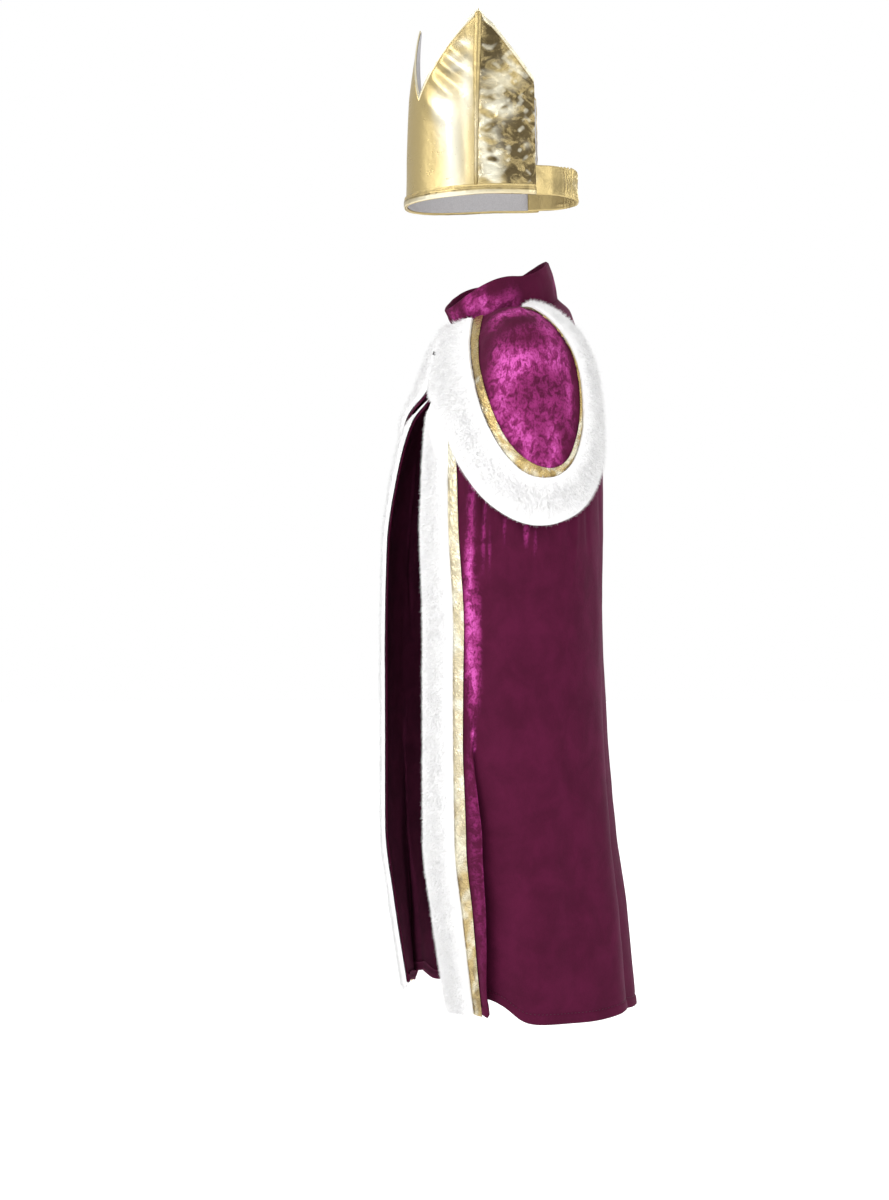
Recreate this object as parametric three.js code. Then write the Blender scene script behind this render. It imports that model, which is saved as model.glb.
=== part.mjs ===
// A child's king costume: a crushed-velvet robe with a stand collar, a fur-edged lobe over each
// shoulder, fur and gold braid down both front edges, and a soft gold crown with three peaks.
// Millimetres, +Z up. The wearer faces -Y and the wearer's left is +X. The origin is the middle
// of the neck seam. Places on the robe are given by turn, the degrees round from the centre back
// (positive to the wearer's left), and by fall, the millimetres down the side from the neck seam.
import * as THREE from 'three';

// Walls and seams
const SEAM_GAP = 0.35;
const LIE_GAP = 0.95;
const CLOTH = 2;
const HEM_CLOTH = 4;
const HEM_DEPTH = 12;
const FUR_PILE = 9;
const FUR_EDGE_PILE = 3;
const BRAID_WIDTH = 12;
const BRAID_THICKNESS = 1.8;

// Robe body
const SIDE_Y = -5;
const BACK_POWER = 2.1;
const HEM_FALL = 802;

// One row for each level of the robe. front is where the section would cross the centre front,
// edgeX is how far each open front edge stands from the centre, frontPower is the power of the
// section's front curve, and furWidth is the breadth of the fur down the front edge.
const LEVELS = namedRows(
  ['fall', 'halfWidth', 'back', 'front', 'sideZ', 'backZ',
    'frontZ', 'edgeX', 'frontPower', 'furWidth'],
  [
    [0, 56, 57, -55, -4, 15, -21, 1.2, 2.0, 44],
    [30, 84, 66, -63, -11, 1, -34, 1.2, 1.8, 44],
    [62, 112, 72, -69, -24, -21, -50, 1.2, 1.75, 44],
    [95, 134, 80, -73, -44, -50, -68, 1.2, 1.8, 44],
    [130, 147, 87, -80, -74, -83, -91, 4, 1.9, 44],
    [175, 154, 92, -97, -117, -122, -121, 36, 2.0, 44],
    [240, 159, 96, -112, -180, -180, -180, 60, 2.1, 44],
    [310, 163, 96, -122, -250, -250, -250, 76, 2.2, 44],
    [410, 167, 96, -125, -350, -350, -350, 86, 2.2, 44],
    [510, 171, 99, -124, -450, -450, -450, 86, 2.2, 45],
    [620, 175, 108, -123, -560, -560, -560, 86, 2.2, 48],
    [700, 177, 120, -112, -640, -640, -638, 86, 2.2, 49],
    [802, 180, 132, -95, -742, -747, -731, 86, 2.2, 49],
  ],
);

// One row for each hanging fold: its turn, half its breadth in degrees towards the centre back and
// towards the front, how far it stands out (negative for a valley), and the fall where it starts
// and where it is full. The deep fold beside each front steps in sharply and comes out slowly.
const FOLDS = [
  { turn: 125.5, backBreadth: 3, frontBreadth: 3, out: 3.5, start: 450, full: 650 },
  { turn: 121, backBreadth: 14, frontBreadth: 1.8, out: -13, start: 450, full: 680 },
  { turn: 78, backBreadth: 9, frontBreadth: 9, out: -4, start: 380, full: 760 },
  { turn: 52, backBreadth: 8, frontBreadth: 8, out: 5, start: 300, full: 780 },
  { turn: 33, backBreadth: 7, frontBreadth: 7, out: -9, start: 260, full: 780 },
  { turn: 14, backBreadth: 8, frontBreadth: 8, out: 6, start: 210, full: 700 },
  { turn: -6, backBreadth: 7, frontBreadth: 7, out: -8, start: 190, full: 740 },
  { turn: -27, backBreadth: 8, frontBreadth: 8, out: 7, start: 240, full: 760 },
  { turn: -47, backBreadth: 7, frontBreadth: 7, out: -8, start: 290, full: 790 },
  { turn: -74, backBreadth: 9, frontBreadth: 9, out: 5, start: 360, full: 780 },
  { turn: -121, backBreadth: 11, frontBreadth: 1.8, out: -11, start: 470, full: 720 },
  { turn: -125.5, backBreadth: 3, frontBreadth: 3, out: 3.5, start: 450, full: 650 },
];

// The deep fold beside each front is laid over itself: its line moves forward by some degrees down
// the robe, and the cloth behind the line is drawn under it
const DEEP_FOLD = { turn: 121, under: 5, backBreadth: 9, frontBreadth: 1.8, start: 470, full: 640 };
const FOLD_LINE = [
  { fall: 430, forward: 0 },
  { fall: 525, forward: 1.5 },
  { fall: 566, forward: -1.7 },
  { fall: 620, forward: -4.4 },
  { fall: 670, forward: -4 },
  { fall: 723, forward: -2.3 },
  { fall: 776, forward: 0.6 },
  { fall: 802, forward: 0.8 },
];

// The columns of half the robe, as stretches of the way from centre back to the front edge: close
// together at the deep fold, further apart elsewhere
const COLUMN_STRETCHES = [
  { from: 0, to: 0.6, columns: 12 },
  { from: 0.6, to: 0.776, columns: 6 },
  { from: 0.776, to: 0.806, columns: 3 },
  { from: 0.806, to: 0.86, columns: 2 },
  { from: 0.86, to: 1, columns: 6 },
];
const FALL_ROWS = [
  0, 18, 38, 62, 85, 108, 130, 142, 153, 164, 175, 190, 206, 226, 250, 280, 310,
  360, 410, 470, 530, 590, 650, 705, 755, 789, 791, 802,
];

// Shoulder lobes: one row for each station round the edge, from the front of the neck, down the
// front, round under the shoulder and up the back to the neck. edge is the fur's outer edge and
// braid is the braid's outer edge, each as turn and fall.
const LOBE_STATIONS = [
  { edgeTurn: 179.2, edgeFall: 7, braidTurn: 139, braidFall: 7 },
  { edgeTurn: 179.2, edgeFall: 38, braidTurn: 139.5, braidFall: 38 },
  { edgeTurn: 179.2, edgeFall: 80, braidTurn: 140, braidFall: 77 },
  { edgeTurn: 178.3, edgeFall: 115, braidTurn: 137.5, braidFall: 113 },
  { edgeTurn: 172, edgeFall: 141, braidTurn: 131.5, braidFall: 143 },
  { edgeTurn: 160, edgeFall: 160, braidTurn: 125.5, braidFall: 166 },
  { edgeTurn: 147, edgeFall: 187, braidTurn: 117.5, braidFall: 197 },
  { edgeTurn: 134, edgeFall: 229, braidTurn: 109.5, braidFall: 222 },
  { edgeTurn: 116, edgeFall: 271, braidTurn: 101, braidFall: 239.5 },
  { edgeTurn: 96, edgeFall: 293, braidTurn: 92.5, braidFall: 246 },
  { edgeTurn: 76, edgeFall: 284, braidTurn: 84, braidFall: 243.5 },
  { edgeTurn: 60, edgeFall: 260, braidTurn: 76, braidFall: 231 },
  { edgeTurn: 50, edgeFall: 227, braidTurn: 70, braidFall: 209 },
  { edgeTurn: 46, edgeFall: 186, braidTurn: 66.5, braidFall: 183 },
  { edgeTurn: 46, edgeFall: 140, braidTurn: 66, braidFall: 138 },
  { edgeTurn: 50, edgeFall: 103, braidTurn: 69.5, braidFall: 105 },
  { edgeTurn: 57, edgeFall: 73, braidTurn: 76, braidFall: 79 },
  { edgeTurn: 64, edgeFall: 41, braidTurn: 82, braidFall: 46 },
  { edgeTurn: 69, edgeFall: 7, braidTurn: 86, braidFall: 7 },
];
const LOBE_FRONT_CORNER = 4;
const LOBE_BACK_CORNER = 12;
const LOBE_NECK_FALL = 7;
const LOBE_LIFT = 3.2;
const LOBE_LIFT_FALL = 110;
const LOBE_BULGE = { turn: 104, fall: 115, halfTurn: 33, halfFall: 125, out: 9 };

// Front bands: the top end slants under the lobe's edge, from the front edge to the braid
const BAND_TOP_AT_EDGE = 146;
const BAND_TOP_AT_BRAID = 206;
const BAND_TUCK = 0.03;
const BAND_TUCK_PILE = 1.6;
const BAND_ROWS = [
  0, 0.02, 0.04, 0.06, 0.085, 0.11, 0.14, 0.17, 0.21, 0.25,
  0.31, 0.39, 0.47, 0.55, 0.63, 0.71, 0.79, 0.87, 0.94, 1,
];

// Stand collar: the seam ring and the top ring
const COLLAR_THICKNESS = 3;
const COLLAR_END_TURN = 178;
const COLLAR_RINGS = [
  { up: 0, halfWidth: 55.7, back: 56.7, front: -54.7, sideZ: -3.6, backZ: 15.4, frontZ: -20.6 },
  { up: 0.5, halfWidth: 56.2, back: 53, front: -60.5, sideZ: 14, backZ: 35, frontZ: -10.5 },
  { up: 1, halfWidth: 55.4, back: 46, front: -66, sideZ: 31.5, backZ: 54, frontZ: -0.5 },
];

// Front hook between the fur edges
const HOOK = { fall: 58, height: 6, halfThickness: 0.8, inside: 3, outside: 12 };

// Crown, in its own frame: round is the degrees from the front to the wearer's left
const CROWN = {
  centre: new THREE.Vector3(0, -15, 0),
  yaw: THREE.MathUtils.degToRad(-18),
  halfLength: 92.5,
  halfWidth: 75,
  roundness: 2.4,
  baseZ: 117,
  frontDrop: 5.7,
  backDrop: 1,
  valleyHeight: 113,
  frontPeakHeight: 192,
  sidePeakHeight: 198,
  backCornerHeight: 123.5,
  lean: 0.035,
  peakLean: 0.115,
};
const CROWN_VALLEY = 35;
const CROWN_SIDE_PEAK = 84;
const CROWN_BACK_CORNER = 117.6;
const CROWN_FRONT_SLOPE_BOW = 5;
const CROWN_BACK_SLOPE_BOW = -2;
const CROWN_CLOTH = 1.6;
const CROWN_LINING = 1;
const CROWN_HEM_HEIGHT = 10;
const CROWN_BAND_HEIGHT = 31;
const CROWN_BAND_TUCK = { start: 111, leave: 121, full: 133 };

// Colours
const VELVET = new THREE.MeshStandardMaterial({ color: 0x7a2657, roughness: 0.6, metalness: 0 });
const FUR = new THREE.MeshStandardMaterial({ color: 0xf4f3f0, roughness: 0.95, metalness: 0 });
const BRAID = new THREE.MeshStandardMaterial({ color: 0xbfa06a, roughness: 0.4, metalness: 0.7 });
const GOLD_CLOTH = new THREE.MeshStandardMaterial({ color: 0xd5c487, roughness: 0.35, metalness: 0.8 });
const GREY_BACKING = new THREE.MeshStandardMaterial({ color: 0xb9b8b2, roughness: 0.9, metalness: 0 });
const HOOK_METAL = new THREE.MeshStandardMaterial({ color: 0x55555a, roughness: 0.4, metalness: 0.9 });

const radians = THREE.MathUtils.degToRad;
const lerp = THREE.MathUtils.lerp;
const smooth = THREE.MathUtils.smoothstep;

// One object for each row of numbers, under the column names
function namedRows(columns, rows) {
  return rows.map((row) => Object.fromEntries(columns.map((name, i) => [name, row[i]])));
}

// Reads a table between its rows with a curve that never overshoots the rows
function tableReader(rows, key) {
  const columns = Object.keys(rows[0]).filter((column) => column !== key);
  const gradient = (i, column) => {
    const [low, high] = [rows[i], rows[i + 1]];
    return (high[column] - low[column]) / (high[key] - low[key]);
  };
  const slope = (i, column) => {
    if (i === 0) return gradient(0, column);
    if (i === rows.length - 1) return gradient(i - 1, column);
    const before = gradient(i - 1, column);
    const after = gradient(i, column);
    return before * after <= 0 ? 0 : (2 * before * after) / (before + after);
  };
  return (value) => {
    let i = 0;
    while (i < rows.length - 2 && value > rows[i + 1][key]) i += 1;
    const span = rows[i + 1][key] - rows[i][key];
    const t = (value - rows[i][key]) / span;
    const row = {};
    for (const column of columns) {
      const [a, b] = [rows[i][column], rows[i + 1][column]];
      const [da, db] = [slope(i, column) * span, slope(i + 1, column) * span];
      row[column] = a + t * (da + t * (3 * (b - a) - 2 * da - db + t * (2 * (a - b) + da + db)));
    }
    return row;
  };
}

const levelAt = tableReader(LEVELS, 'fall');
const foldLineAt = tableReader(FOLD_LINE, 'fall');
const collarRingAt = tableReader(COLLAR_RINGS, 'up');

// A closed solid between two grids of the same size, rows by columns
function slab(outer, inner) {
  const rows = outer.length;
  const columns = outer[0].length;
  const points = [...outer.flat(), ...inner.flat()];
  const top = (r, c) => r * columns + c;
  const under = (r, c) => rows * columns + top(r, c);
  const faces = [];
  const quad = (a, b, c, d) => faces.push(a, b, c, a, c, d);
  for (let r = 0; r < rows - 1; r += 1) {
    for (let c = 0; c < columns - 1; c += 1) {
      quad(top(r, c), top(r, c + 1), top(r + 1, c + 1), top(r + 1, c));
      quad(under(r, c), under(r + 1, c), under(r + 1, c + 1), under(r, c + 1));
    }
  }
  for (let c = 0; c < columns - 1; c += 1) {
    quad(top(0, c), under(0, c), under(0, c + 1), top(0, c + 1));
    quad(top(rows - 1, c), top(rows - 1, c + 1), under(rows - 1, c + 1), under(rows - 1, c));
  }
  for (let r = 0; r < rows - 1; r += 1) {
    quad(top(r, 0), top(r + 1, 0), under(r + 1, 0), under(r, 0));
    quad(top(r, columns - 1), under(r, columns - 1), under(r + 1, columns - 1), top(r + 1, columns - 1));
  }
  if (enclosedVolume(points, faces) < 0) faces.reverse();
  const geometry = new THREE.BufferGeometry().setFromPoints(points);
  geometry.setIndex(faces);
  geometry.computeVertexNormals();
  return geometry;
}

function enclosedVolume(points, faces) {
  let volume = 0;
  for (let i = 0; i < faces.length; i += 3) {
    const [a, b, c] = [points[faces[i]], points[faces[i + 1]], points[faces[i + 2]]];
    volume += a.dot(new THREE.Vector3().crossVectors(b, c)) / 6;
  }
  return volume;
}

// Rows by columns of points, each from a function of the row's and the column's share
function grid(rowShares, columnShares, pointAt) {
  return rowShares.map((v) => columnShares.map((u) => pointAt(u, v)));
}

function shares(count, from = 0, to = 1) {
  return Array.from({ length: count + 1 }, (_, i) => lerp(from, to, i / count));
}

// A point of a rounded section: half an ellipse of any power behind the side, half in front
function sectionPoint(turn, ring, frontPower, backPower) {
  const angle = radians(Math.abs(turn));
  const across = Math.max(Math.sin(angle), 0);
  const along = Math.cos(angle);
  const power = 2 / (along < 0 ? frontPower : backPower);
  const reach = along < 0 ? SIDE_Y - ring.front : ring.back - SIDE_Y;
  const endZ = along < 0 ? ring.frontZ : ring.backZ;
  return new THREE.Vector3(
    Math.sign(turn) * ring.halfWidth * across ** power,
    SIDE_Y + Math.sign(along) * reach * Math.abs(along) ** power,
    ring.sideZ * across ** 2 + endZ * along ** 2,
  );
}

function foldOut(turn, fall) {
  let out = 0;
  for (const fold of FOLDS) {
    const breadth = Math.abs(turn) > Math.abs(fold.turn) ? fold.frontBreadth : fold.backBreadth;
    const nearness = Math.exp(-(((turn - fold.turn) / breadth) ** 2));
    out += fold.out * nearness * smooth(fall, fold.start, fold.full);
  }
  return out;
}

// The outward direction of a surface given as a function of turn and fall
function outwardAt(surface, turn, fall) {
  const around = surface(turn + 0.4, fall).sub(surface(turn - 0.4, fall));
  const down = surface(turn, fall + 1).sub(surface(turn, fall - 1));
  return around.cross(down).normalize();
}

const smoothRobe = (turn, fall) => {
  const level = levelAt(fall);
  return sectionPoint(turn, level, level.frontPower, BACK_POWER);
};

// The turn where the cloth of a turn lies, once the deep folds are laid over themselves
function gatheredTurn(turn, fall) {
  if (fall <= FOLD_LINE[0].fall) return turn;
  const near = Math.abs(turn) - DEEP_FOLD.turn;
  const reach = near > 2 ? 5 : 12;
  const line = foldLineAt(fall).forward * Math.exp(-(((near - 2) / reach) ** 2));
  const breadth = near > 0 ? DEEP_FOLD.frontBreadth : DEEP_FOLD.backBreadth;
  const under = DEEP_FOLD.under * Math.exp(-((near / breadth) ** 2));
  return turn + Math.sign(turn) * (line + under * smooth(fall, DEEP_FOLD.start, DEEP_FOLD.full));
}

const foldedRobe = (turn, fall) => {
  const out = foldOut(turn, fall);
  const place = gatheredTurn(turn, fall);
  const point = smoothRobe(place, fall);
  return out === 0 ? point : point.addScaledVector(outwardAt(smoothRobe, place, fall), out);
};

// The robe's outer face moved out by a distance
function robePoint(turn, fall, out = 0) {
  return foldedRobe(turn, fall).addScaledVector(outwardAt(foldedRobe, turn, fall), out);
}

// The turn of the open front edge at a fall
function edgeTurn(fall) {
  const level = levelAt(fall);
  const share = (level.edgeX / level.halfWidth) ** (level.frontPower / 2);
  return 180 - THREE.MathUtils.radToDeg(Math.asin(share));
}

// The turn reached by going back from a turn over the cloth by a distance
function turnBack(turn, fall, distance) {
  const steps = 5;
  let reached = turn;
  for (let i = 0; i < steps; i += 1) {
    const perDegree = smoothRobe(reached, fall).distanceTo(smoothRobe(reached - 1, fall));
    reached -= distance / steps / perDegree;
  }
  return reached;
}

// The turn at a share of the way over the front fur, from the open edge
function furTurn(fall, share) {
  return turnBack(edgeTurn(fall), fall, levelAt(fall).furWidth * share);
}

function mirrored(geometry) {
  const copy = geometry.clone().scale(-1, 1, 1);
  const index = Array.from(copy.getIndex().array).reverse();
  copy.setIndex(index);
  copy.computeVertexNormals();
  return copy;
}

function capeBody() {
  const half = COLUMN_STRETCHES.flatMap(({ from, to, columns }) => shares(columns, from, to).slice(1));
  const columnShares = [...half.map((share) => -share).reverse(), 0, ...half];
  const outer = [];
  const inner = [];
  for (const fall of FALL_ROWS) {
    const edge = edgeTurn(fall);
    const wall = fall > HEM_FALL - HEM_DEPTH ? HEM_CLOTH : CLOTH;
    outer.push(columnShares.map((share) => robePoint(share * edge, fall)));
    inner.push(columnShares.map((share) => robePoint(share * edge, fall, -wall)));
  }
  return slab(outer, inner);
}

function stationCurve(turnColumn, fallColumn) {
  const points = LOBE_STATIONS.map((row) => new THREE.Vector3(row[turnColumn], row[fallColumn], 0));
  return new THREE.CatmullRomCurve3(points, false, 'catmullrom', 0.5);
}

const lobeEdge = stationCurve('edgeTurn', 'edgeFall');
const lobeBraid = stationCurve('braidTurn', 'braidFall');

// How far a lobe's outer face stands from the robe's outer face
function lobeStand(turn, fall) {
  const { turn: midTurn, fall: midFall, halfTurn, halfFall, out } = LOBE_BULGE;
  const away = ((turn - midTurn) / halfTurn) ** 2 + ((fall - midFall) / halfFall) ** 2;
  const bulge = out * Math.max(0, 1 - away);
  return LIE_GAP + CLOTH + LOBE_LIFT * smooth(fall, LOBE_NECK_FALL, LOBE_LIFT_FALL) + bulge;
}

function lobePoint(turn, fall, out = 0) {
  return robePoint(turn, fall, lobeStand(turn, fall) + out);
}

// A lobe is a four-sided patch: neck, front edge, lower edge and back edge
function lobePanel() {
  const last = LOBE_STATIONS.length - 1;
  const station = (from, to, share) => lobeEdge.getPoint(lerp(from, to, share) / last);
  const neckFront = station(0, 0, 0);
  const neckBack = station(last, last, 0);
  const lowFront = station(LOBE_FRONT_CORNER, LOBE_FRONT_CORNER, 0);
  const lowBack = station(LOBE_BACK_CORNER, LOBE_BACK_CORNER, 0);
  const place = (u, v) => {
    const neck = neckFront.clone().lerp(neckBack, u);
    const low = station(LOBE_FRONT_CORNER, LOBE_BACK_CORNER, u);
    const front = station(0, LOBE_FRONT_CORNER, v);
    const back = station(last, LOBE_BACK_CORNER, v);
    const corners = neckFront.clone().lerp(neckBack, u).lerp(lowFront.clone().lerp(lowBack, u), v);
    return neck.lerp(low, v).add(front.lerp(back, u)).sub(corners);
  };
  const layer = (out) => grid(shares(14), shares(22), (u, v) => {
    const { x: turn, y: fall } = place(u, v);
    return lobePoint(turn, fall, out);
  });
  return slab(layer(0), layer(-CLOTH));
}

// A round-topped pile: full in the middle, lower along both edges
function pileAt(share, full = FUR_PILE) {
  const crown = Math.sqrt(Math.max(0, 1 - Math.abs(2 * share - 1) ** 3));
  return lerp(Math.min(FUR_EDGE_PILE, full), full, crown);
}

function lobeFur() {
  const across = [0, 0.1, 0.3, 0.55, 0.8, 0.98];
  const layer = (lift) => grid(shares(44), across, (u, v) => {
    const edge = lobeEdge.getPoint(v);
    const place = edge.lerp(lobeBraid.getPoint(v), u);
    return lobePoint(place.x, place.y, LIE_GAP + lift(u));
  });
  return slab(layer((u) => pileAt(u)), layer(() => 0));
}

function lobeBraidStrip() {
  const layer = (lift) => grid(shares(40), [0, 1], (u, v) => {
    const outerEdge = lobeBraid.getPoint(v);
    const toEdge = lobeEdge.getPoint(v).sub(outerEdge);
    const here = lobePoint(outerEdge.x, outerEdge.y);
    const there = lobePoint(outerEdge.x + toEdge.x * 0.1, outerEdge.y + toEdge.y * 0.1);
    const inward = toEdge.multiplyScalar((-0.1 * BRAID_WIDTH * u) / here.distanceTo(there));
    return lobePoint(outerEdge.x + inward.x, outerEdge.y + inward.y, LIE_GAP + lift);
  });
  return slab(layer(BRAID_THICKNESS), layer(0));
}

// The fall at a share down a front band, whose top end slants back under the lobe
function bandFall(across, down) {
  return lerp(lerp(BAND_TOP_AT_EDGE, BAND_TOP_AT_BRAID, across), HEM_FALL, down);
}

function frontFur() {
  const layer = (lift) => grid(BAND_ROWS, [0, 0.12, 0.3, 0.5, 0.7, 0.9, 1], (u, v) => {
    const fall = bandFall(u, v);
    return robePoint(furTurn(fall, u), fall, LIE_GAP + lift(u, v));
  });
  const pile = (u, v) => pileAt(u, v < BAND_TUCK ? BAND_TUCK_PILE : FUR_PILE);
  return slab(layer(pile), layer(() => 0));
}

function frontBraid() {
  const layer = (lift) => grid(BAND_ROWS, [0, 1], (u, v) => {
    const fall = bandFall(1 + u * 0.25, v);
    const turn = turnBack(furTurn(fall, 1), fall, SEAM_GAP + BRAID_WIDTH * u);
    return robePoint(turn, fall, LIE_GAP + lift);
  });
  return slab(layer(BRAID_THICKNESS), layer(0));
}

function standCollar() {
  const ringPoint = (turn, up, inset) => {
    const ring = collarRingAt(up);
    const narrowed = {
      ...ring,
      halfWidth: ring.halfWidth - inset,
      back: ring.back - inset,
      front: ring.front + inset,
    };
    return sectionPoint(turn, narrowed, 2, BACK_POWER);
  };
  const turns = shares(44, -COLLAR_END_TURN, COLLAR_END_TURN);
  const layer = (inset) => grid(shares(3), turns, (turn, up) => ringPoint(turn, up, inset));
  return slab(layer(0), layer(COLLAR_THICKNESS));
}

function neckHook() {
  const { fall, height, halfThickness, inside, outside } = HOOK;
  const corner = (side, down, out) => {
    const point = robePoint(179.9, fall + down * height, out);
    return point.setX(side * halfThickness);
  };
  const face = (side) => grid([0, 1], [inside, outside], (out, down) => corner(side, down, out));
  return slab(face(1), face(-1));
}

// Crown

function crownPoint(round, height, out = 0) {
  const place = (degrees) => {
    const angle = radians(degrees);
    const power = 2 / CROWN.roundness;
    const peakRise = CROWN.sidePeakHeight - CROWN.valleyHeight;
    const above = Math.max(0, (height - CROWN.valleyHeight) / peakRise);
    const scale = 1 - (CROWN.lean * height) / CROWN.valleyHeight - CROWN.peakLean * above ** 1.3;
    const [across, along] = [Math.sin(angle), Math.cos(angle)];
    return new THREE.Vector3(
      Math.sign(across) * CROWN.halfWidth * scale * Math.abs(across) ** power,
      -Math.sign(along) * CROWN.halfLength * scale * Math.abs(along) ** power,
      CROWN.baseZ - (along > 0 ? CROWN.frontDrop : -CROWN.backDrop) * along + height,
    );
  };
  const around = place(round + 0.5).sub(place(round - 0.5));
  const outward = new THREE.Vector3(around.y, -around.x, 0).normalize();
  return place(round).addScaledVector(outward, out);
}

// The height of the cut top edge, straight between the peaks and the valleys
function crownTop(round) {
  const keys = [
    { round: 0, height: CROWN.frontPeakHeight, bow: 0 },
    { round: CROWN_VALLEY, height: CROWN.valleyHeight, bow: CROWN_FRONT_SLOPE_BOW },
    { round: CROWN_SIDE_PEAK, height: CROWN.sidePeakHeight, bow: CROWN_BACK_SLOPE_BOW },
    { round: CROWN_BACK_CORNER, height: CROWN.backCornerHeight, bow: 0 },
  ];
  const at = Math.abs(round);
  let i = 0;
  while (i < keys.length - 2 && at > keys[i + 1].round) i += 1;
  const [low, high] = [keys[i], keys[i + 1]];
  const share = (at - low.round) / (high.round - low.round);
  return lerp(low.height, high.height, share) + low.bow * Math.sin(Math.PI * share);
}

function crownWall(rounds, outer, thickness, bottom = 0, below = 0) {
  const layer = (out) => grid(shares(5), rounds, (round, up) => {
    return crownPoint(round, lerp(bottom, crownTop(round) - below, up), out);
  });
  return slab(layer(outer), layer(outer - thickness));
}

const peakToValley = shares(5, 0, CROWN_VALLEY);
const valleyToSide = shares(6, CROWN_VALLEY, CROWN_SIDE_PEAK).slice(1);
const frontHalf = [...peakToValley, ...valleyToSide];
const backHalf = shares(4, CROWN_SIDE_PEAK, CROWN_BACK_CORNER);
const bothSides = (rounds) => [...rounds.slice(1).map((round) => -round).reverse(), ...rounds];

function crownFront() {
  const rounds = bothSides(frontHalf);
  rounds[0] += 0.2;
  rounds[rounds.length - 1] -= 0.2;
  return crownWall(rounds, 0, CROWN_CLOTH);
}

function crownSide() {
  const rounds = [...backHalf];
  rounds[0] += 0.2;
  return crownWall(rounds, 0, CROWN_CLOTH);
}

function crownLining() {
  const rounds = bothSides([...frontHalf, ...backHalf.slice(1)]);
  return crownWall(rounds, -CROWN_CLOTH - SEAM_GAP, CROWN_LINING, 2, 1.5);
}

function crownSeam() {
  const halfRound = 1.9;
  const rounds = [CROWN_SIDE_PEAK - halfRound, CROWN_SIDE_PEAK, CROWN_SIDE_PEAK + halfRound];
  const layer = (out) => grid(shares(6), rounds, (round, up) => {
    const foot = CROWN_HEM_HEIGHT + 1;
    const tip = crownTop(round) - 2;
    return crownPoint(round, lerp(foot, tip, up), LIE_GAP + out(round));
  });
  const ridge = (round) => (round === CROWN_SIDE_PEAK ? 1.8 : 0.6);
  return slab(layer(ridge), layer(() => 0));
}

function crownHem() {
  const rounds = bothSides([...frontHalf, ...backHalf.slice(1)]);
  const layer = (out) => grid([0, 1], rounds, (round, up) => {
    return crownPoint(round, CROWN_HEM_HEIGHT * up, SEAM_GAP + out);
  });
  return slab(layer(1.4), layer(0));
}

function crownBackBand() {
  const behind = CROWN_CLOTH + SEAM_GAP + CROWN_LINING + SEAM_GAP;
  const { start, leave, full } = CROWN_BAND_TUCK;
  const rounds = shares(30, start, 360 - start);
  const layer = (out) => grid(shares(2), rounds, (round, up) => {
    const fromEnd = Math.min(round, 360 - round);
    const tuck = behind * (1 - smooth(fromEnd, leave, full));
    return crownPoint(round, 1 + (CROWN_BAND_HEIGHT - 1) * up, out - tuck);
  });
  return slab(layer(0), layer(-CROWN_CLOTH));
}

function crownGroup() {
  const crown = new THREE.Group();
  crown.position.copy(CROWN.centre);
  crown.rotation.z = CROWN.yaw;
  const side = crownSide();
  const seam = crownSeam();
  addMesh(crown, 'crown_front', crownFront(), GOLD_CLOTH);
  addMesh(crown, 'crown_side_left', side, GOLD_CLOTH);
  addMesh(crown, 'crown_side_right', mirrored(side), GOLD_CLOTH);
  addMesh(crown, 'crown_seam_left', seam, GOLD_CLOTH);
  addMesh(crown, 'crown_seam_right', mirrored(seam), GOLD_CLOTH);
  addMesh(crown, 'crown_hem', crownHem(), GOLD_CLOTH);
  addMesh(crown, 'crown_back_band', crownBackBand(), GOLD_CLOTH);
  addMesh(crown, 'crown_lining', crownLining(), GREY_BACKING);
  return crown;
}

function addMesh(parent, name, geometry, material) {
  const mesh = new THREE.Mesh(geometry, material.clone());
  mesh.name = name;
  parent.add(mesh);
}

function robeGroup() {
  const robe = new THREE.Group();
  addMesh(robe, 'cape_body', capeBody(), VELVET);
  addMesh(robe, 'collar', standCollar(), VELVET);
  addMesh(robe, 'neck_hook', neckHook(), HOOK_METAL);
  const leftPieces = [
    ['lobe', lobePanel(), VELVET],
    ['lobe_fur', lobeFur(), FUR],
    ['lobe_braid', lobeBraidStrip(), BRAID],
    ['front_fur', frontFur(), FUR],
    ['front_braid', frontBraid(), BRAID],
  ];
  for (const [name, geometry, material] of leftPieces) {
    addMesh(robe, `${name}_left`, geometry, material);
    addMesh(robe, `${name}_right`, mirrored(geometry), material);
  }
  return robe;
}

const group = new THREE.Group();
group.add(robeGroup(), crownGroup());

export default group;
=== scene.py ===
"""A child's king costume, dressed over its fixed frame.

The costume is a crushed-velvet robe with a stand collar, a fur-edged lobe over each shoulder, fur
and gold tape down both front edges, and a soft gold crown with three peaks.

Sizes in the tables are millimetres, and meshes are metres, +Z up. The wearer faces -Y and the
wearer's left is +X. A place on the robe is a turn, the degrees round from the centre back, and a
fall, the millimetres down the side from the neck seam. A place on the crown is the degrees round
from its front, and a height above its lower edge.
"""

import logging
import math
from dataclasses import dataclass, field
from enum import Enum
from typing import Callable, Sequence

import bpy
import numpy as np
from mathutils import Matrix, Vector

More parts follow.
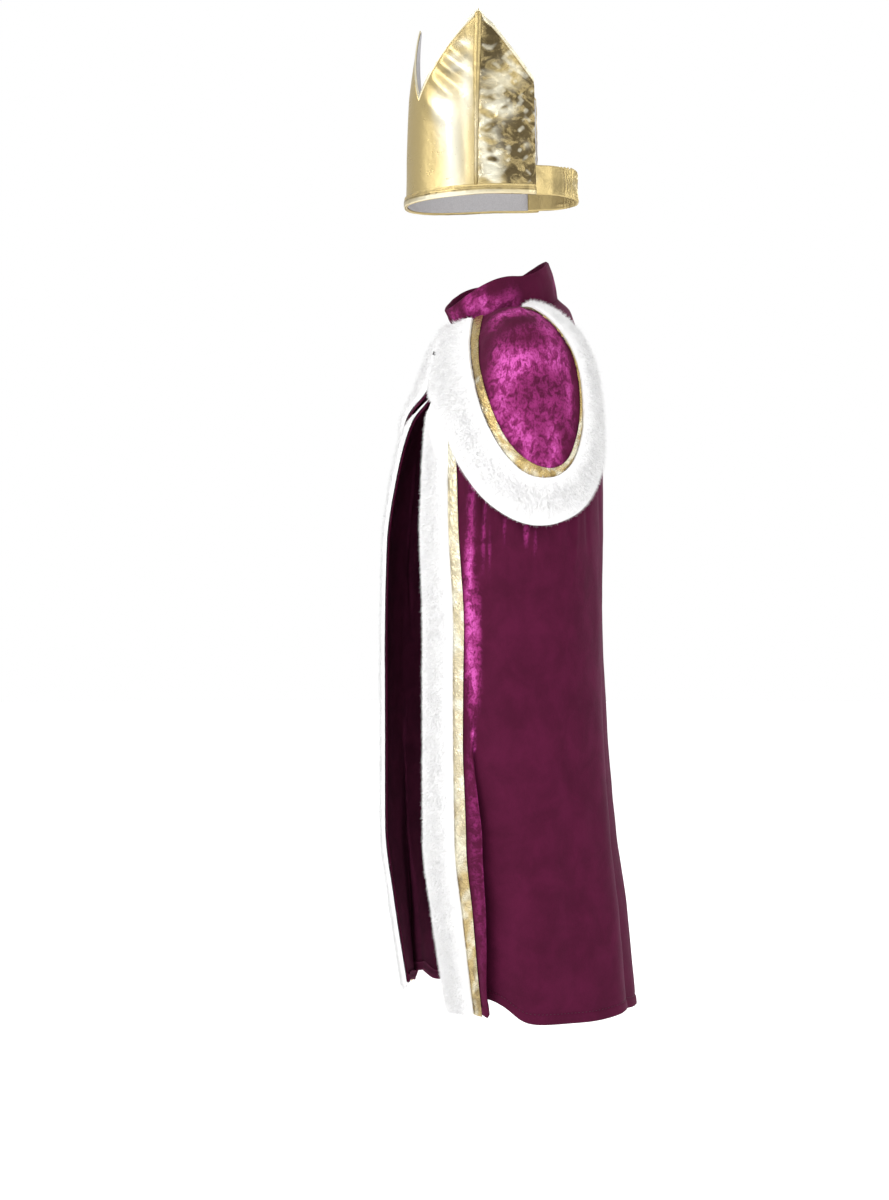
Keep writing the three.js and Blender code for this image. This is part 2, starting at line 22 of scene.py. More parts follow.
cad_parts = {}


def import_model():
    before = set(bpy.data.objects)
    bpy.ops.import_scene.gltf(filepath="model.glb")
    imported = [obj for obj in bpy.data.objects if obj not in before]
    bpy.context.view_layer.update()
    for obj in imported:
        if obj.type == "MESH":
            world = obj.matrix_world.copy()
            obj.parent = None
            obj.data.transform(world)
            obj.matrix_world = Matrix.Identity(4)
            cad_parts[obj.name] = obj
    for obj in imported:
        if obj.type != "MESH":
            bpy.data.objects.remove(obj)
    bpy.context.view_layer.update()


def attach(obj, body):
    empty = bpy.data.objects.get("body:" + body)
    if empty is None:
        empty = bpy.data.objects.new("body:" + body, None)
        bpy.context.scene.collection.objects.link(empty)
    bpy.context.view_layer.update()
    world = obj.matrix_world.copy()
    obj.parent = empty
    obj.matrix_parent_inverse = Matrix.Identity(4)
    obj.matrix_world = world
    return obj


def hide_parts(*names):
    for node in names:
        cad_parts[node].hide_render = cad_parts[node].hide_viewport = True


log = logging.getLogger("king_costume")

MM = 0.001
BODY = "root"
# the cells across the square of random values behind every soft noise
LATTICE = 97

Array = np.ndarray
Colour = tuple[float, float, float]
Rows = tuple[tuple[float, ...], ...]
Socket, Tree, Node = bpy.types.NodeSocket, bpy.types.NodeTree, bpy.types.Node
Material, Piece = bpy.types.Material, bpy.types.Object


class Side(Enum):
    """The wearer's two sides, as the sign of a turn."""

    LEFT = 1
    RIGHT = -1

    @property
    def word(self) -> str:
        """The side's name in a piece's name."""
        return self.name.lower()

    def pick(self, left: int, right: int) -> int:
        """One of two numbers, by side."""
        return left if self is Side.LEFT else right

    def named(self, word: str) -> str:
        """A piece's name with its side."""
        return f"{word}_{self.word}"


class Slot(Enum):
    """The material slots of the record."""

    VELVET = "velvet"
    FUR = "fur"
    TAPE = "gold_braid"
    LAME = "gold_lame"
    BACKING = "grey_backing"
    WIRE = "hook_wire"


# Tables and fields


class Table:
    """Rows of sizes, read between the rows by a curve that never overshoots them."""

    def __init__(self, columns: Sequence[str], rows: Sequence[Sequence[float]]) -> None:
        """Keeps the rows by column; the first column is what they are read by."""
        data = np.array(rows, dtype=float)
        self.key = data[:, 0]
        self.columns = {name: data[:, i] for i, name in enumerate(columns)}

    def read(self, name: str, at: Array) -> Array:
        """Reads a column.

        Args:
            name: The column.
            at: Values of the first column.

        Returns:
            The column's values there.
        """
        column = self.columns[name]
        steps = np.diff(column) / np.diff(self.key)
        before, after = steps[:-1], steps[1:]
        total = np.where(before * after > 0, before + after, 1.0)
        inner = np.where(before * after > 0, 2 * before * after / total, 0.0)
        slopes = np.concatenate([steps[:1], inner, steps[-1:]])
        i = np.clip(np.searchsorted(self.key, at, side="right") - 1, 0, len(self.key) - 2)
        span = self.key[i + 1] - self.key[i]
        t = (at - self.key[i]) / span
        a, b = column[i], column[i + 1]
        da, db = slopes[i] * span, slopes[i + 1] * span
        return a + t * (da + t * (3 * (b - a) - 2 * da - db + t * (2 * (a - b) + da + db)))

    def row(self, at: Array) -> dict[str, Array]:
        """Every column, read at values of the first."""
        return {name: self.read(name, at) for name in self.columns}


def smooth(value: Array, low: float, high: float) -> Array:
    """A soft step from 0 at low to 1 at high."""
    t = np.clip((value - low) / (high - low), 0.0, 1.0)
    return t * t * (3 - 2 * t)


def soft_noise(u: Array, v: Array, cell: float, seed: int) -> Array:
    """Smooth noise over a surface.

    Args:
        u: Places across, in any unit.
        v: Places along, in the same unit.
        cell: The size of a bump, in that unit.
        seed: The number that fixes the pattern.

    Returns:
        Values from -1 to 1.
    """
    size = LATTICE
    lattice = np.random.default_rng(seed).uniform(-1, 1, (size, size))
    x, y = u / cell, v / cell
    i, j = np.floor(x).astype(int), np.floor(y).astype(int)
    fx, fy = x - i, y - j
    fx, fy = fx * fx * (3 - 2 * fx), fy * fy * (3 - 2 * fy)

    def corner(di: int, dj: int) -> Array:
        """The lattice's value at one corner of the cell."""
        return lattice[(i + di) % size, (j + dj) % size]

    low = corner(0, 0) * (1 - fx) + corner(1, 0) * fx
    high = corner(0, 1) * (1 - fx) + corner(1, 1) * fx
    return low * (1 - fy) + high * fy


def creased(creases: Rows, u: Array, v: Array, per_u: float) -> Array:
    """How far soft troughs and ridges, pressed along lines, move a surface out.

    Args:
        creases: For each its two ends (u, v, u, v), half its breadth in millimetres, and how far
            it stands out in millimetres (negative for a trough).
        u: Places across.
        v: Places along, in millimetres.
        per_u: The millimetres in one unit of u.

    Returns:
        The sum at each place, in millimetres.
    """
    total = np.zeros_like(u)
    for from_u, ay, to_u, to_v, half, out in creases:
        ax = from_u * per_u
        dx, dy = to_u * per_u - ax, to_v - ay
        length = math.hypot(dx, dy)
        share = ((u * per_u - ax) * dx + (v - ay) * dy) / length / length
        away = ((u * per_u - ax) * dy - (v - ay) * dx) / length
        ends = smooth(share, -0.12, 0.3) * (1 - smooth(share, 0.6, 1.12))
        total = total + out * ends * np.exp(-((away / half) ** 2))
    return total


def patched(patches: Rows, u: Array, v: Array) -> Array:
    """The sum of soft-edged patches on a surface, kept from 0 to 1.

    Args:
        patches: For each its middle (u, v), half its breadth and length, and its strength.
        u: Places across.
        v: Places along.

    Returns:
        The sum at each place.
    """
    total = np.zeros_like(u)
    for middle_u, middle_v, half_u, half_v, strength in patches:
        away = ((u - middle_u) / half_u) ** 2 + ((v - middle_v) / half_v) ** 2
        total = total + strength * np.exp(-away)
    return np.clip(total, 0.0, 1.0)


# Meshes


class MeshMaker:
    """Makes closed shells from grids of points."""

    SHARP = math.radians(55)
    RIM_BULGE = 0.42

    @staticmethod
    def perimeter(rows: int, columns: int) -> tuple[Array, Array]:
        """The border places of a grid, in order, and each one's neighbour inside.

        Args:
            rows: The grid's rows.
            columns: The grid's columns.

        Returns:
            Two arrays of flat indices.
        """
        at = np.arange(rows * columns).reshape(rows, columns)
        border = np.concatenate([at[0, :-1], at[:-1, -1], at[-1, :0:-1], at[:0:-1, 0]])
        r, c = np.divmod(border, columns)
        return border, np.clip(r, 1, rows - 2) * columns + np.clip(c, 1, columns - 2)

    @classmethod
    def shell(
        cls,
        name: str,
        outer: Array,
        inner: Array,
        uv: tuple[Array, Array] | None = None,
        fields: dict[str, Array] | None = None,
        bulge: tuple[float, float] = (RIM_BULGE, RIM_BULGE),
    ) -> Piece:
        """A closed sheet of cloth between two grids, with a rounded rim.

        The fields are nought on the back face, which takes the second material if there is one.

        Args:
            name: The piece's name.
            outer: Rows by columns of points, in millimetres.
            inner: The same places on the back face.
            uv: Cloth coordinates of the grid, in millimetres.
            fields: Named numbers for each place of the grid.
            bulge: How far the rim stands out at the first and last column, in walls.

        Returns:
            The new object.
        """
        rows, columns = outer.shape[:2]
        count = rows * columns
        top, under = outer.reshape(-1, 3), inner.reshape(-1, 3)
        border, inside = cls.perimeter(rows, columns)
        middle = (top[border] + under[border]) / 2
        beyond = middle - (top[inside] + under[inside]) / 2
        beyond /= np.maximum(np.linalg.norm(beyond, axis=1, keepdims=True), 1e-9)
        wall = np.linalg.norm(top[border] - under[border], axis=1, keepdims=True)
        share = (border % columns)[:, None] / (columns - 1)
        stands = bulge[0] + (bulge[1] - bulge[0]) * share
        points = np.vstack([top, under, middle + beyond * wall * stands])

        r, c = np.meshgrid(np.arange(rows - 1), np.arange(columns - 1), indexing="ij")
        a = (r * columns + c).ravel()
        b, d = a + 1, a + columns
        e = d + 1
        faces = [np.stack([a, b, e, d], 1), np.stack([a, d, e, b], 1) + count]
        rim = 2 * count + np.arange(len(border))
        after, rim_after = np.roll(border, -1), np.roll(rim, -1)
        faces.append(np.stack([border, rim, rim_after, after], 1))
        faces.append(np.stack([rim, border + count, after + count, rim_after], 1))
        quads = np.vstack(faces)
        if cls.volume(points, quads) < 0:
            quads = quads[:, ::-1]

        mesh = bpy.data.meshes.new(name)
        mesh.from_pydata((points * MM).tolist(), [], quads.tolist())
        place = np.concatenate([np.arange(count), np.arange(count), border])
        if uv is not None:
            flat = np.stack([uv[0].ravel(), uv[1].ravel()], 1)[place] * MM
            corners = np.empty(len(mesh.loops), dtype=np.int32)
            mesh.loops.foreach_get("vertex_index", corners)
            layer = mesh.uv_layers.new(name="UVMap")
            layer.data.foreach_set("uv", flat[corners].ravel().astype(np.float32))
        shown = np.concatenate([np.ones(count), np.zeros(count), np.ones(len(border))])
        for key, values in (fields or {}).items():
            attribute = mesh.attributes.new(key, "FLOAT", "POINT")
            attribute.data.foreach_set("value", (values.ravel()[place] * shown).astype(np.float32))
        each = (rows - 1) * (columns - 1)
        side = np.zeros(len(quads), dtype=np.int32)
        side[each:2 * each] = 1
        mesh.attributes.new("back_face", "INT", "FACE").data.foreach_set("value", side)
        mesh.update()
        mesh.shade_smooth()
        mesh.set_sharp_from_angle(angle=cls.SHARP)
        return placed(name, mesh)

    @staticmethod
    def volume(points: Array, quads: Array) -> float:
        """The signed volume that a closed mesh of quads holds."""
        a, b, c, d = (points[quads[:, k]] for k in range(4))
        first = np.einsum("ij,ij->i", a, np.cross(b, c))
        second = np.einsum("ij,ij->i", a, np.cross(c, d))
        return float(first.sum() + second.sum()) / 6


# Node helpers, shader groups and finishes


class NodeDesk:
    """A short way to add and join nodes in one tree."""

    def __init__(self, tree: Tree) -> None:
        """Keeps the tree that the nodes go in."""
        self.tree = tree

    def add(self, kind: str, settings: dict | None = None, **inputs) -> Node:
        """Adds a node.

        Args:
            kind: The node's type.
            settings: Properties of the node.
            **inputs: Values or sockets for its inputs, by name with _ for each space.

        Returns:
            The node.
        """
        node = self.tree.nodes.new(kind)
        for key, value in (settings or {}).items():
            setattr(node, key, value)
        self.fill(node, **inputs)
        return node

    def feed(self, node: Node, name: str | int, value) -> None:
        """Sets an input, or joins it to a socket."""
        target = node.inputs[name]
        if isinstance(value, Socket):
            self.tree.links.new(value, target)
        else:
            target.default_value = value

    def fill(self, node: Node, **inputs) -> None:
        """Feeds several inputs, by name with _ for each space."""
        for key, value in inputs.items():
            self.feed(node, key.replace("_", " "), value)

    def mix(self, factor, first: Colour, second) -> Socket:
        """Mixes two colours, the first or both of three numbers or a socket, by a factor."""
        node = self.add("ShaderNodeMix", {"data_type": "RGBA"})
        for place, value in ((0, factor), (6, first), (7, second)):
            self.feed(node, place, (*value, 1.0) if isinstance(value, tuple) else value)
        return node.outputs[2]

    def maths(self, operation: str, first, second=0.0) -> Socket:
        """Joins two numbers or sockets by an operation and returns the result."""
        node = self.add("ShaderNodeMath", {"operation": operation})
        self.feed(node, 0, first)
        self.feed(node, 1, second)
        return node.outputs[0]

    def scaled(self, value, by: float, plus: float = 0.0) -> Socket:
        """A number times another, plus a third."""
        product = self.maths("MULTIPLY", value, by)
        return self.maths("ADD", product, plus) if plus else product

    def vectors(self, operation: str, first, second) -> Socket:
        """Adds two vectors, or scales one by a number."""
        node = self.add("ShaderNodeVectorMath", {"operation": operation})
        self.feed(node, 0, first)
        self.feed(node, "Scale" if operation == "SCALE" else 1, second)
        return node.outputs[0]

    def reach(self, value, low, high) -> Socket:
        """A soft step of a number, from 0 at low to 1 at high."""
        node = self.add("ShaderNodeMapRange", {"interpolation_type": "SMOOTHSTEP"}, Value=value,
                        From_Min=low, From_Max=high)
        return node.outputs["Result"]

    def attribute(self, name: str) -> Socket:
        """The numbers that a mesh carries under a name."""
        return self.add("ShaderNodeAttribute", {"attribute_name": name}).outputs["Fac"]


class ClothGroups:
    """Shader groups that more than one finish uses."""

    # the big and the small facets of foil: their height and how many times finer they are
    FACETS = ((1.0, 1.0), (0.45, 2.3))

    def __init__(self) -> None:
        """Builds the groups once."""
        self.mottle = self._mottle()
        self.threads = self._threads()
        self.facets = self._facets()

    @staticmethod
    def _new(name: str, numbers: Sequence[str], results: Sequence[str]) -> tuple:
        """A new group that reads a vector and numbers.

        Args:
            name: The group's name.
            numbers: The names of its number inputs.
            results: The names of its outputs.

        Returns:
            The tree, its desk, its inputs and its output node.
        """
        tree = bpy.data.node_groups.new(name, "ShaderNodeTree")
        tree.interface.new_socket(name="Vector", in_out="INPUT", socket_type="NodeSocketVector")
        for keys, way in ((numbers, "INPUT"), (results, "OUTPUT")):
            for key in keys:
                tree.interface.new_socket(name=key, in_out=way, socket_type="NodeSocketFloat")
        desk = NodeDesk(tree)
        return tree, desk, desk.add("NodeGroupInput").outputs, desk.add("NodeGroupOutput")

    def _mottle(self) -> Tree:
        """Blotches of one size, as a mask between two limits and as a height."""
        tree, desk, given, result = self._new(
            "cloth_mottle", ("Scale", "Distortion", "Low", "High"), ("Mask", "Height"))
        noise = desk.add("ShaderNodeTexNoise", Vector=given["Vector"], Scale=given["Scale"],
                         Detail=6.0, Roughness=0.62, Distortion=given["Distortion"])
        height = noise.outputs["Fac"]
        desk.fill(result, Mask=desk.reach(height, given["Low"], given["High"]), Height=height)
        return tree

    def _facets(self) -> Tree:
        """The small flat facets of crumpled foil, as a height."""
        tree, desk, given, result = self._new("cloth_facets", ("Scale",), ("Height",))
        wander = desk.add("ShaderNodeTexNoise", Vector=given["Vector"], Scale=60.0)
        moved = desk.vectors("SCALE", wander.outputs["Color"], 0.008)
        place = desk.vectors("ADD", given["Vector"], moved)
        heights = []
        for share, finer in self.FACETS:
            cells = desk.add("ShaderNodeTexVoronoi", {"feature": "DISTANCE_TO_EDGE"},
                             Vector=place, Scale=desk.scaled(given["Scale"], finer))
            heights.append(desk.scaled(cells.outputs["Distance"], share))
        desk.fill(result, Height=desk.maths("ADD", *heights))
        return tree

    def _threads(self) -> Tree:
        """The grain of a woven cloth: warp and weft threads of one pitch, as a height."""
        tree, desk, given, result = self._new("cloth_threads", ("Scale",), ("Height",))
        weft, warp = (
            desk.add("ShaderNodeTexWave", {"bands_direction": way}, Vector=given["Vector"],
                     Scale=given["Scale"], Distortion=0.6).outputs["Fac"] for way in "XY")
        desk.fill(result, Height=desk.maths("MAXIMUM", weft, warp))
        return tree


@dataclass(frozen=True)
class Finish:
    """What every finish has: a name and a plain principled shader."""

    name: str

    def build(self, groups: ClothGroups) -> Material:
        """Makes the material.

        Args:
            groups: The shared groups.

        Returns:
            The material.
        """
        material = bpy.data.materials.new(self.name)
        material.use_nodes = True
        material.node_tree.nodes.clear()
        desk = NodeDesk(material.node_tree)
        shader = desk.add("ShaderNodeBsdfPrincipled")
        desk.add("ShaderNodeOutputMaterial", Surface=shader.outputs[0])
        self.paint(desk, shader, groups)
        return material

    def paint(self, desk: NodeDesk, shader: Node, groups: ClothGroups) -> None:
        """Adds the finish's own nodes and joins them to the shader."""
        raise NotImplementedError

    @staticmethod
    def on_cloth(desk: NodeDesk) -> Socket:
        """The piece's own cloth coordinates."""
        return desk.add("ShaderNodeUVMap", {"uv_map": "UVMap"}).outputs[0]

    @staticmethod
    def on_object(desk: NodeDesk) -> Socket:
        """The piece's own place in the costume."""
        return desk.add("ShaderNodeTexCoord").outputs["Object"]

    @staticmethod
    def bump(desk: NodeDesk, shader: Node, height, strength: float,
             distance: float) -> None:
        """Joins a height to the shader's normal."""
        node = desk.add("ShaderNodeBump", Height=height, Strength=strength, Distance=distance)
        desk.fill(shader, Normal=node.outputs["Normal"])

    @staticmethod
    def grouped(desk: NodeDesk, tree: Tree, vector: Socket,
                *numbers: float) -> dict[str, Socket]:
        """Places a shader group.

        Args:
            desk: The material's desk.
            tree: The group.
            vector: The coordinates that it reads.
            *numbers: Its numbers, in their order; the first is its scale.

        Returns:
            Its outputs by name.
        """
        node = desk.add("ShaderNodeGroup", {"node_tree": tree})
        for place, value in enumerate((vector, *numbers)):
            desk.feed(node, place, value)
        return node.outputs


@dataclass(frozen=True)
class Velvet(Finish):
    """Crushed velvet: dark where the pile stands; where it is laid over, its sheen is painted in
    as brighter magenta.
    """

    deep: Colour = (0.058, 0.0036, 0.0210)
    plain: Colour = (0.082, 0.0056, 0.0310)
    # The sheen of the laid pile, painted in as colour: half lit, then fully lit.
    laid: Colour = (0.255, 0.0230, 0.1350)
    painted_sheen: Colour = (0.610, 0.0950, 0.4150)

    def paint(self, desk: NodeDesk, shader: Node, groups: ClothGroups) -> None:
        """Adds this finish's nodes."""
        vector = self.on_cloth(desk)
        nap = self.grouped(desk, groups.mottle, vector, 24.0, 0.3, 0.30, 0.72)
        blotch = self.grouped(desk, groups.mottle, vector, 95.0, 0.6, 0.38, 0.58)
        grain = self.grouped(desk, groups.mottle, vector, 330.0, 0.3, 0.34, 0.56)
        # Painted sheen: the piece's listed sheen patches, broken up by blotches and grain, lift
        # the colour towards magenta.
        crushed = desk.attribute("crush")
        part = desk.scaled(blotch["Mask"], 0.72, 0.34)
        speck = desk.scaled(grain["Mask"], 0.52, 0.48)
        value = desk.maths("MULTIPLY", crushed, desk.maths("MULTIPLY", part, speck))
        strong = desk.reach(value, 0.30, 1.05)
        base = desk.mix(nap["Mask"], self.deep, self.plain)
        middle = desk.mix(desk.reach(value, 0.0, 0.42), base, self.laid)
        desk.fill(shader, Base_Color=desk.mix(strong, middle, self.painted_sheen),
                  Roughness=desk.maths("SUBTRACT", 0.82, desk.scaled(strong, 0.25)),
                  Sheen_Weight=0.05, Sheen_Roughness=0.4, Sheen_Tint=(0.85, 0.25, 0.55, 1.0),
                  Specular_IOR_Level=0.10)
        rough = desk.maths("MULTIPLY", blotch["Height"], desk.scaled(crushed, 2.2, 0.25))
        height = desk.maths("ADD", rough, desk.scaled(grain["Height"], 0.35))
        self.bump(desk, shader, height, 0.5, 0.0016)


@dataclass(frozen=True)
class WrongSide(Finish):
    """The back of the velvet: a dull, close-knitted ground."""

    light: Colour = (0.085, 0.012, 0.038)
    dark: Colour = (0.055, 0.008, 0.025)

    def paint(self, desk: NodeDesk, shader: Node, groups: ClothGroups) -> None:
        """Adds this finish's nodes."""
        vector = self.on_cloth(desk)
        patch = self.grouped(desk, groups.mottle, vector, 30.0, 0.4, 0.3, 0.7)
        thread = self.grouped(desk, groups.threads, vector, 260.0)
        desk.fill(shader, Base_Color=desk.mix(patch["Mask"], self.dark, self.light),
                  Roughness=0.95, Specular_IOR_Level=0.1)
        self.bump(desk, shader, thread["Height"], 0.25, 0.0003)


@dataclass(frozen=True)
class Fur(Finish):
    """Short white plush."""

    root: Colour = (0.87, 0.867, 0.87)
    tip: Colour = (0.915, 0.912, 0.91)

    def paint(self, desk: NodeDesk, shader: Node, groups: ClothGroups) -> None:
        """Adds this finish's nodes."""
        tuft = self.grouped(desk, groups.mottle, self.on_object(desk), 70.0, 0.4, 0.30, 0.62)
        desk.fill(shader, Base_Color=desk.mix(tuft["Mask"], self.root, self.tip), Roughness=0.9,
                  Sheen_Weight=0.15, Sheen_Roughness=0.6, Specular_IOR_Level=0.1)
        self.bump(desk, shader, tuft["Height"], 0.15, 0.0015)


@dataclass(frozen=True)
class MetalCloth(Finish):
    """Metallic cloth: gold, with a paler painted highlight where it gleams and a dark painted
    shade where its crinkles turn away.
    """

    gold: Colour = (0.575, 0.450, 0.205)
    # The colours of the painted highlight and of the painted shade.
    pale: Colour = (0.80, 0.765, 0.61)
    painted_shade_colour: Colour = (0.105, 0.078, 0.036)
    roughness: float = 0.30
    thread_scale: float = 420.0
    crinkle_scale: float = 72.0
    crinkle_bump: float = 0.55

    def paint(self, desk: NodeDesk, shader: Node, groups: ClothGroups) -> None:
        """Adds this finish's nodes."""
        vector = self.on_cloth(desk)
        crinkle = self.grouped(desk, groups.mottle, vector, self.crinkle_scale, 1.2, 0.38, 0.60)
        thread = self.grouped(desk, groups.threads, vector, self.thread_scale)
        facet = self.grouped(desk, groups.facets, vector, self.crinkle_scale)
        # Painted shade and painted highlight: the piece's shade and gleam numbers, the shade
        # broken up by the crinkles, mix the gold towards the darker and the paler colour.
        broken = desk.scaled(crinkle["Mask"], 0.7, 0.5)
        shade = desk.maths("MINIMUM", desk.maths("MULTIPLY", desk.attribute("shade"), broken), 1.0)
        gleam = desk.maths("MINIMUM", desk.attribute("gleam"), 1.0)
        base = desk.mix(shade, self.gold, self.painted_shade_colour)
        desk.fill(shader, Base_Color=desk.mix(gleam, base, self.pale), Metallic=0.92,
                  Roughness=desk.scaled(crinkle["Height"], 0.18, self.roughness - 0.09))
        both = desk.maths("ADD", crinkle["Height"], desk.scaled(facet["Height"], 1.6))
        rucked = desk.maths("MULTIPLY", both, desk.attribute("crinkle"))
        height = desk.maths("ADD", desk.scaled(thread["Height"], 0.05), rucked)
        self.bump(desk, shader, height, self.crinkle_bump, 0.002)


@dataclass(frozen=True)
class Plain(Finish):
    """A cloth, thread or wire of one colour, mottled finely all over."""

    light: Colour
    dark: Colour
    mottle: tuple[float, float, float, float]
    roughness: float
    relief: float
    depth: float

    def paint(self, desk: NodeDesk, shader: Node, groups: ClothGroups) -> None:
        """Adds this finish's nodes."""
        speck = self.grouped(desk, groups.mottle, self.on_object(desk), *self.mottle)
        desk.fill(shader, Base_Color=desk.mix(speck["Mask"], self.dark, self.light),
                  Roughness=self.roughness)
        self.bump(desk, shader, speck["Height"], self.relief, self.depth)


@dataclass(frozen=True)
class Wire(Finish):
    """The dull dark wire of the neck hook."""

    def paint(self, desk: NodeDesk, shader: Node, groups: ClothGroups) -> None:
        """Adds this finish's nodes."""
        worn = self.grouped(desk, groups.mottle, self.on_object(desk), 700.0, 0.5, 0.4, 0.7)
        desk.fill(shader, Metallic=0.9, Roughness=desk.scaled(worn["Height"], 0.3, 0.3),
                  Base_Color=desk.mix(worn["Mask"], (0.09, 0.085, 0.09), (0.24, 0.23, 0.23)))


def thread(name: str, colour: Colour) -> Plain:
    """The finish of a sewing thread: fine twisted strands of one colour."""
    dim = tuple(0.7 * part for part in colour)
    return Plain(name, colour, dim, (900.0, 0.5, 0.3, 0.7), 0.6, 0.3, 0.0002)


class Wardrobe:
    """Every finish of the costume, built once."""

    def __init__(self) -> None:
        """Builds the groups and the materials."""
        groups = ClothGroups()
        self.velvet = Velvet("crushed_velvet").build(groups)
        self.wrong_side = WrongSide("velvet_back").build(groups)
        self.fur = Fur("white_plush").build(groups)
        self.tape = MetalCloth("gold_tape", gold=(0.50, 0.37, 0.155), painted_shade_colour=(0.235, 0.160, 0.060),
                               roughness=0.27, crinkle_scale=160.0,
                               crinkle_bump=0.45).build(groups)
        self.lame = MetalCloth("gold_lame").build(groups)
        self.backing = Plain("grey_backing", (0.52, 0.51, 0.52), (0.42, 0.41, 0.42),
                             (420.0, 3.0, 0.35, 0.65), 0.92, 0.3, 0.0006).build(groups)
        self.gold_thread = thread("gold_thread", (0.55, 0.42, 0.20)).build(groups)
        self.plum_thread = thread("plum_thread", (0.05, 0.008, 0.022)).build(groups)
        self.wire = Wire("hook_wire").build(groups)


def placed(name: str, mesh: bpy.types.Mesh) -> Piece:
    """Puts a mesh in the scene as an object."""
    piece = bpy.data.objects.new(name, mesh)
    bpy.context.scene.collection.objects.link(piece)
    return piece


def finished(piece: Piece, material: Material, slot: Slot,
             *nodes: str, back: Material | None = None) -> Piece:
    """Gives a piece its finish and its place in the frame.

    Args:
        piece: The new piece.
        material: Its material.
        slot: Its slot in the record; not used.
        *nodes: The frame's nodes that it stands for.
        back: The material of its back face, if that differs.

    Returns:
        The piece.
    """
    if not piece.data.materials:
        piece.data.materials.append(material)
    if back is not None:
        side = np.empty(len(piece.data.polygons), dtype=np.int32)
        piece.data.attributes["back_face"].data.foreach_get("value", side)
        piece.data.materials.append(back)
        piece.data.polygons.foreach_set("material_index", side)
    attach(piece, BODY)
    if nodes:
        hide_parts(*nodes)
    log.info("%s: %d faces", piece.name, len(piece.data.polygons))
    return piece


# Geometry Nodes: stitches and pile


class NodeModelling:
    """A Geometry Nodes tree for what repeats, and its results as plain meshes."""

    def __init__(self, name: str, numbers: dict[str, float]) -> None:
        """Starts a tree with number inputs, by name and default, and one for its material."""
        self.tree = bpy.data.node_groups.new(name, "GeometryNodeTree")
        face = self.tree.interface
        face.new_socket("Geometry", in_out="INPUT", socket_type="NodeSocketGeometry")
        self.identifiers = {}
        for key, value in numbers.items():
            kind = "NodeSocketInt" if isinstance(value, int) else "NodeSocketFloat"
            socket = face.new_socket(key, in_out="INPUT", socket_type=kind)
            socket.default_value = value
            self.identifiers[key] = socket.identifier
        socket = face.new_socket("Finish", in_out="INPUT", socket_type="NodeSocketMaterial")
        self.identifiers["Finish"] = socket.identifier
        face.new_socket("Geometry", in_out="OUTPUT", socket_type="NodeSocketGeometry")
        self.desk = NodeDesk(self.tree)
        self.given = self.desk.add("NodeGroupInput").outputs

    def carried(self, name: str, kind: str = "FLOAT_VECTOR") -> Socket:
        """What the source carries under a name."""
        node = self.desk.add("GeometryNodeInputNamedAttribute", {"data_type": kind}, Name=name)
        return node.outputs["Attribute"]

    def faced(self, axis: str, towards, **more) -> Socket:
        """A rotation that turns an axis towards a vector."""
        pivot = {"pivot_axis": "X"} if more else {}
        node = self.desk.add("FunctionNodeAlignRotationToVector", {"axis": axis, **pivot},
                             Vector=towards, **more)
        return node.outputs["Rotation"]

    def strew(self, points, shape, rotation, **more) -> None:
        """Ends the tree: a shape at every point, made real, smooth and of its material."""
        desk = self.desk
        strewn = desk.add("GeometryNodeInstanceOnPoints", Points=points, Instance=shape,
                          Rotation=rotation, **more)
        real = desk.add("GeometryNodeRealizeInstances", Geometry=strewn.outputs["Instances"])
        smoothed = desk.add("GeometryNodeSetShadeSmooth", Geometry=real.outputs["Geometry"])
        painted = desk.add("GeometryNodeSetMaterial", Geometry=smoothed.outputs["Geometry"],
                           Material=self.given["Finish"])
        desk.add("NodeGroupOutput", Geometry=painted.outputs["Geometry"])

    def made(self, name: str, source: Piece, **values) -> Piece:
        """Runs the tree over an object and keeps the result as a plain mesh.

        Args:
            name: The new piece's name.
            source: The object that carries the points or the surface.
            **values: Value by input name.

        Returns:
            The new object; the modifier is gone from the source.
        """
        modifier = source.modifiers.new("pattern", "NODES")
        modifier.node_group = self.tree
        for key, value in values.items():
            modifier[self.identifiers[key]] = value
        graph = bpy.context.evaluated_depsgraph_get()
        mesh = bpy.data.meshes.new_from_object(source.evaluated_get(graph))
        source.modifiers.remove(modifier)
        mesh.name = name
        return placed(name, mesh)


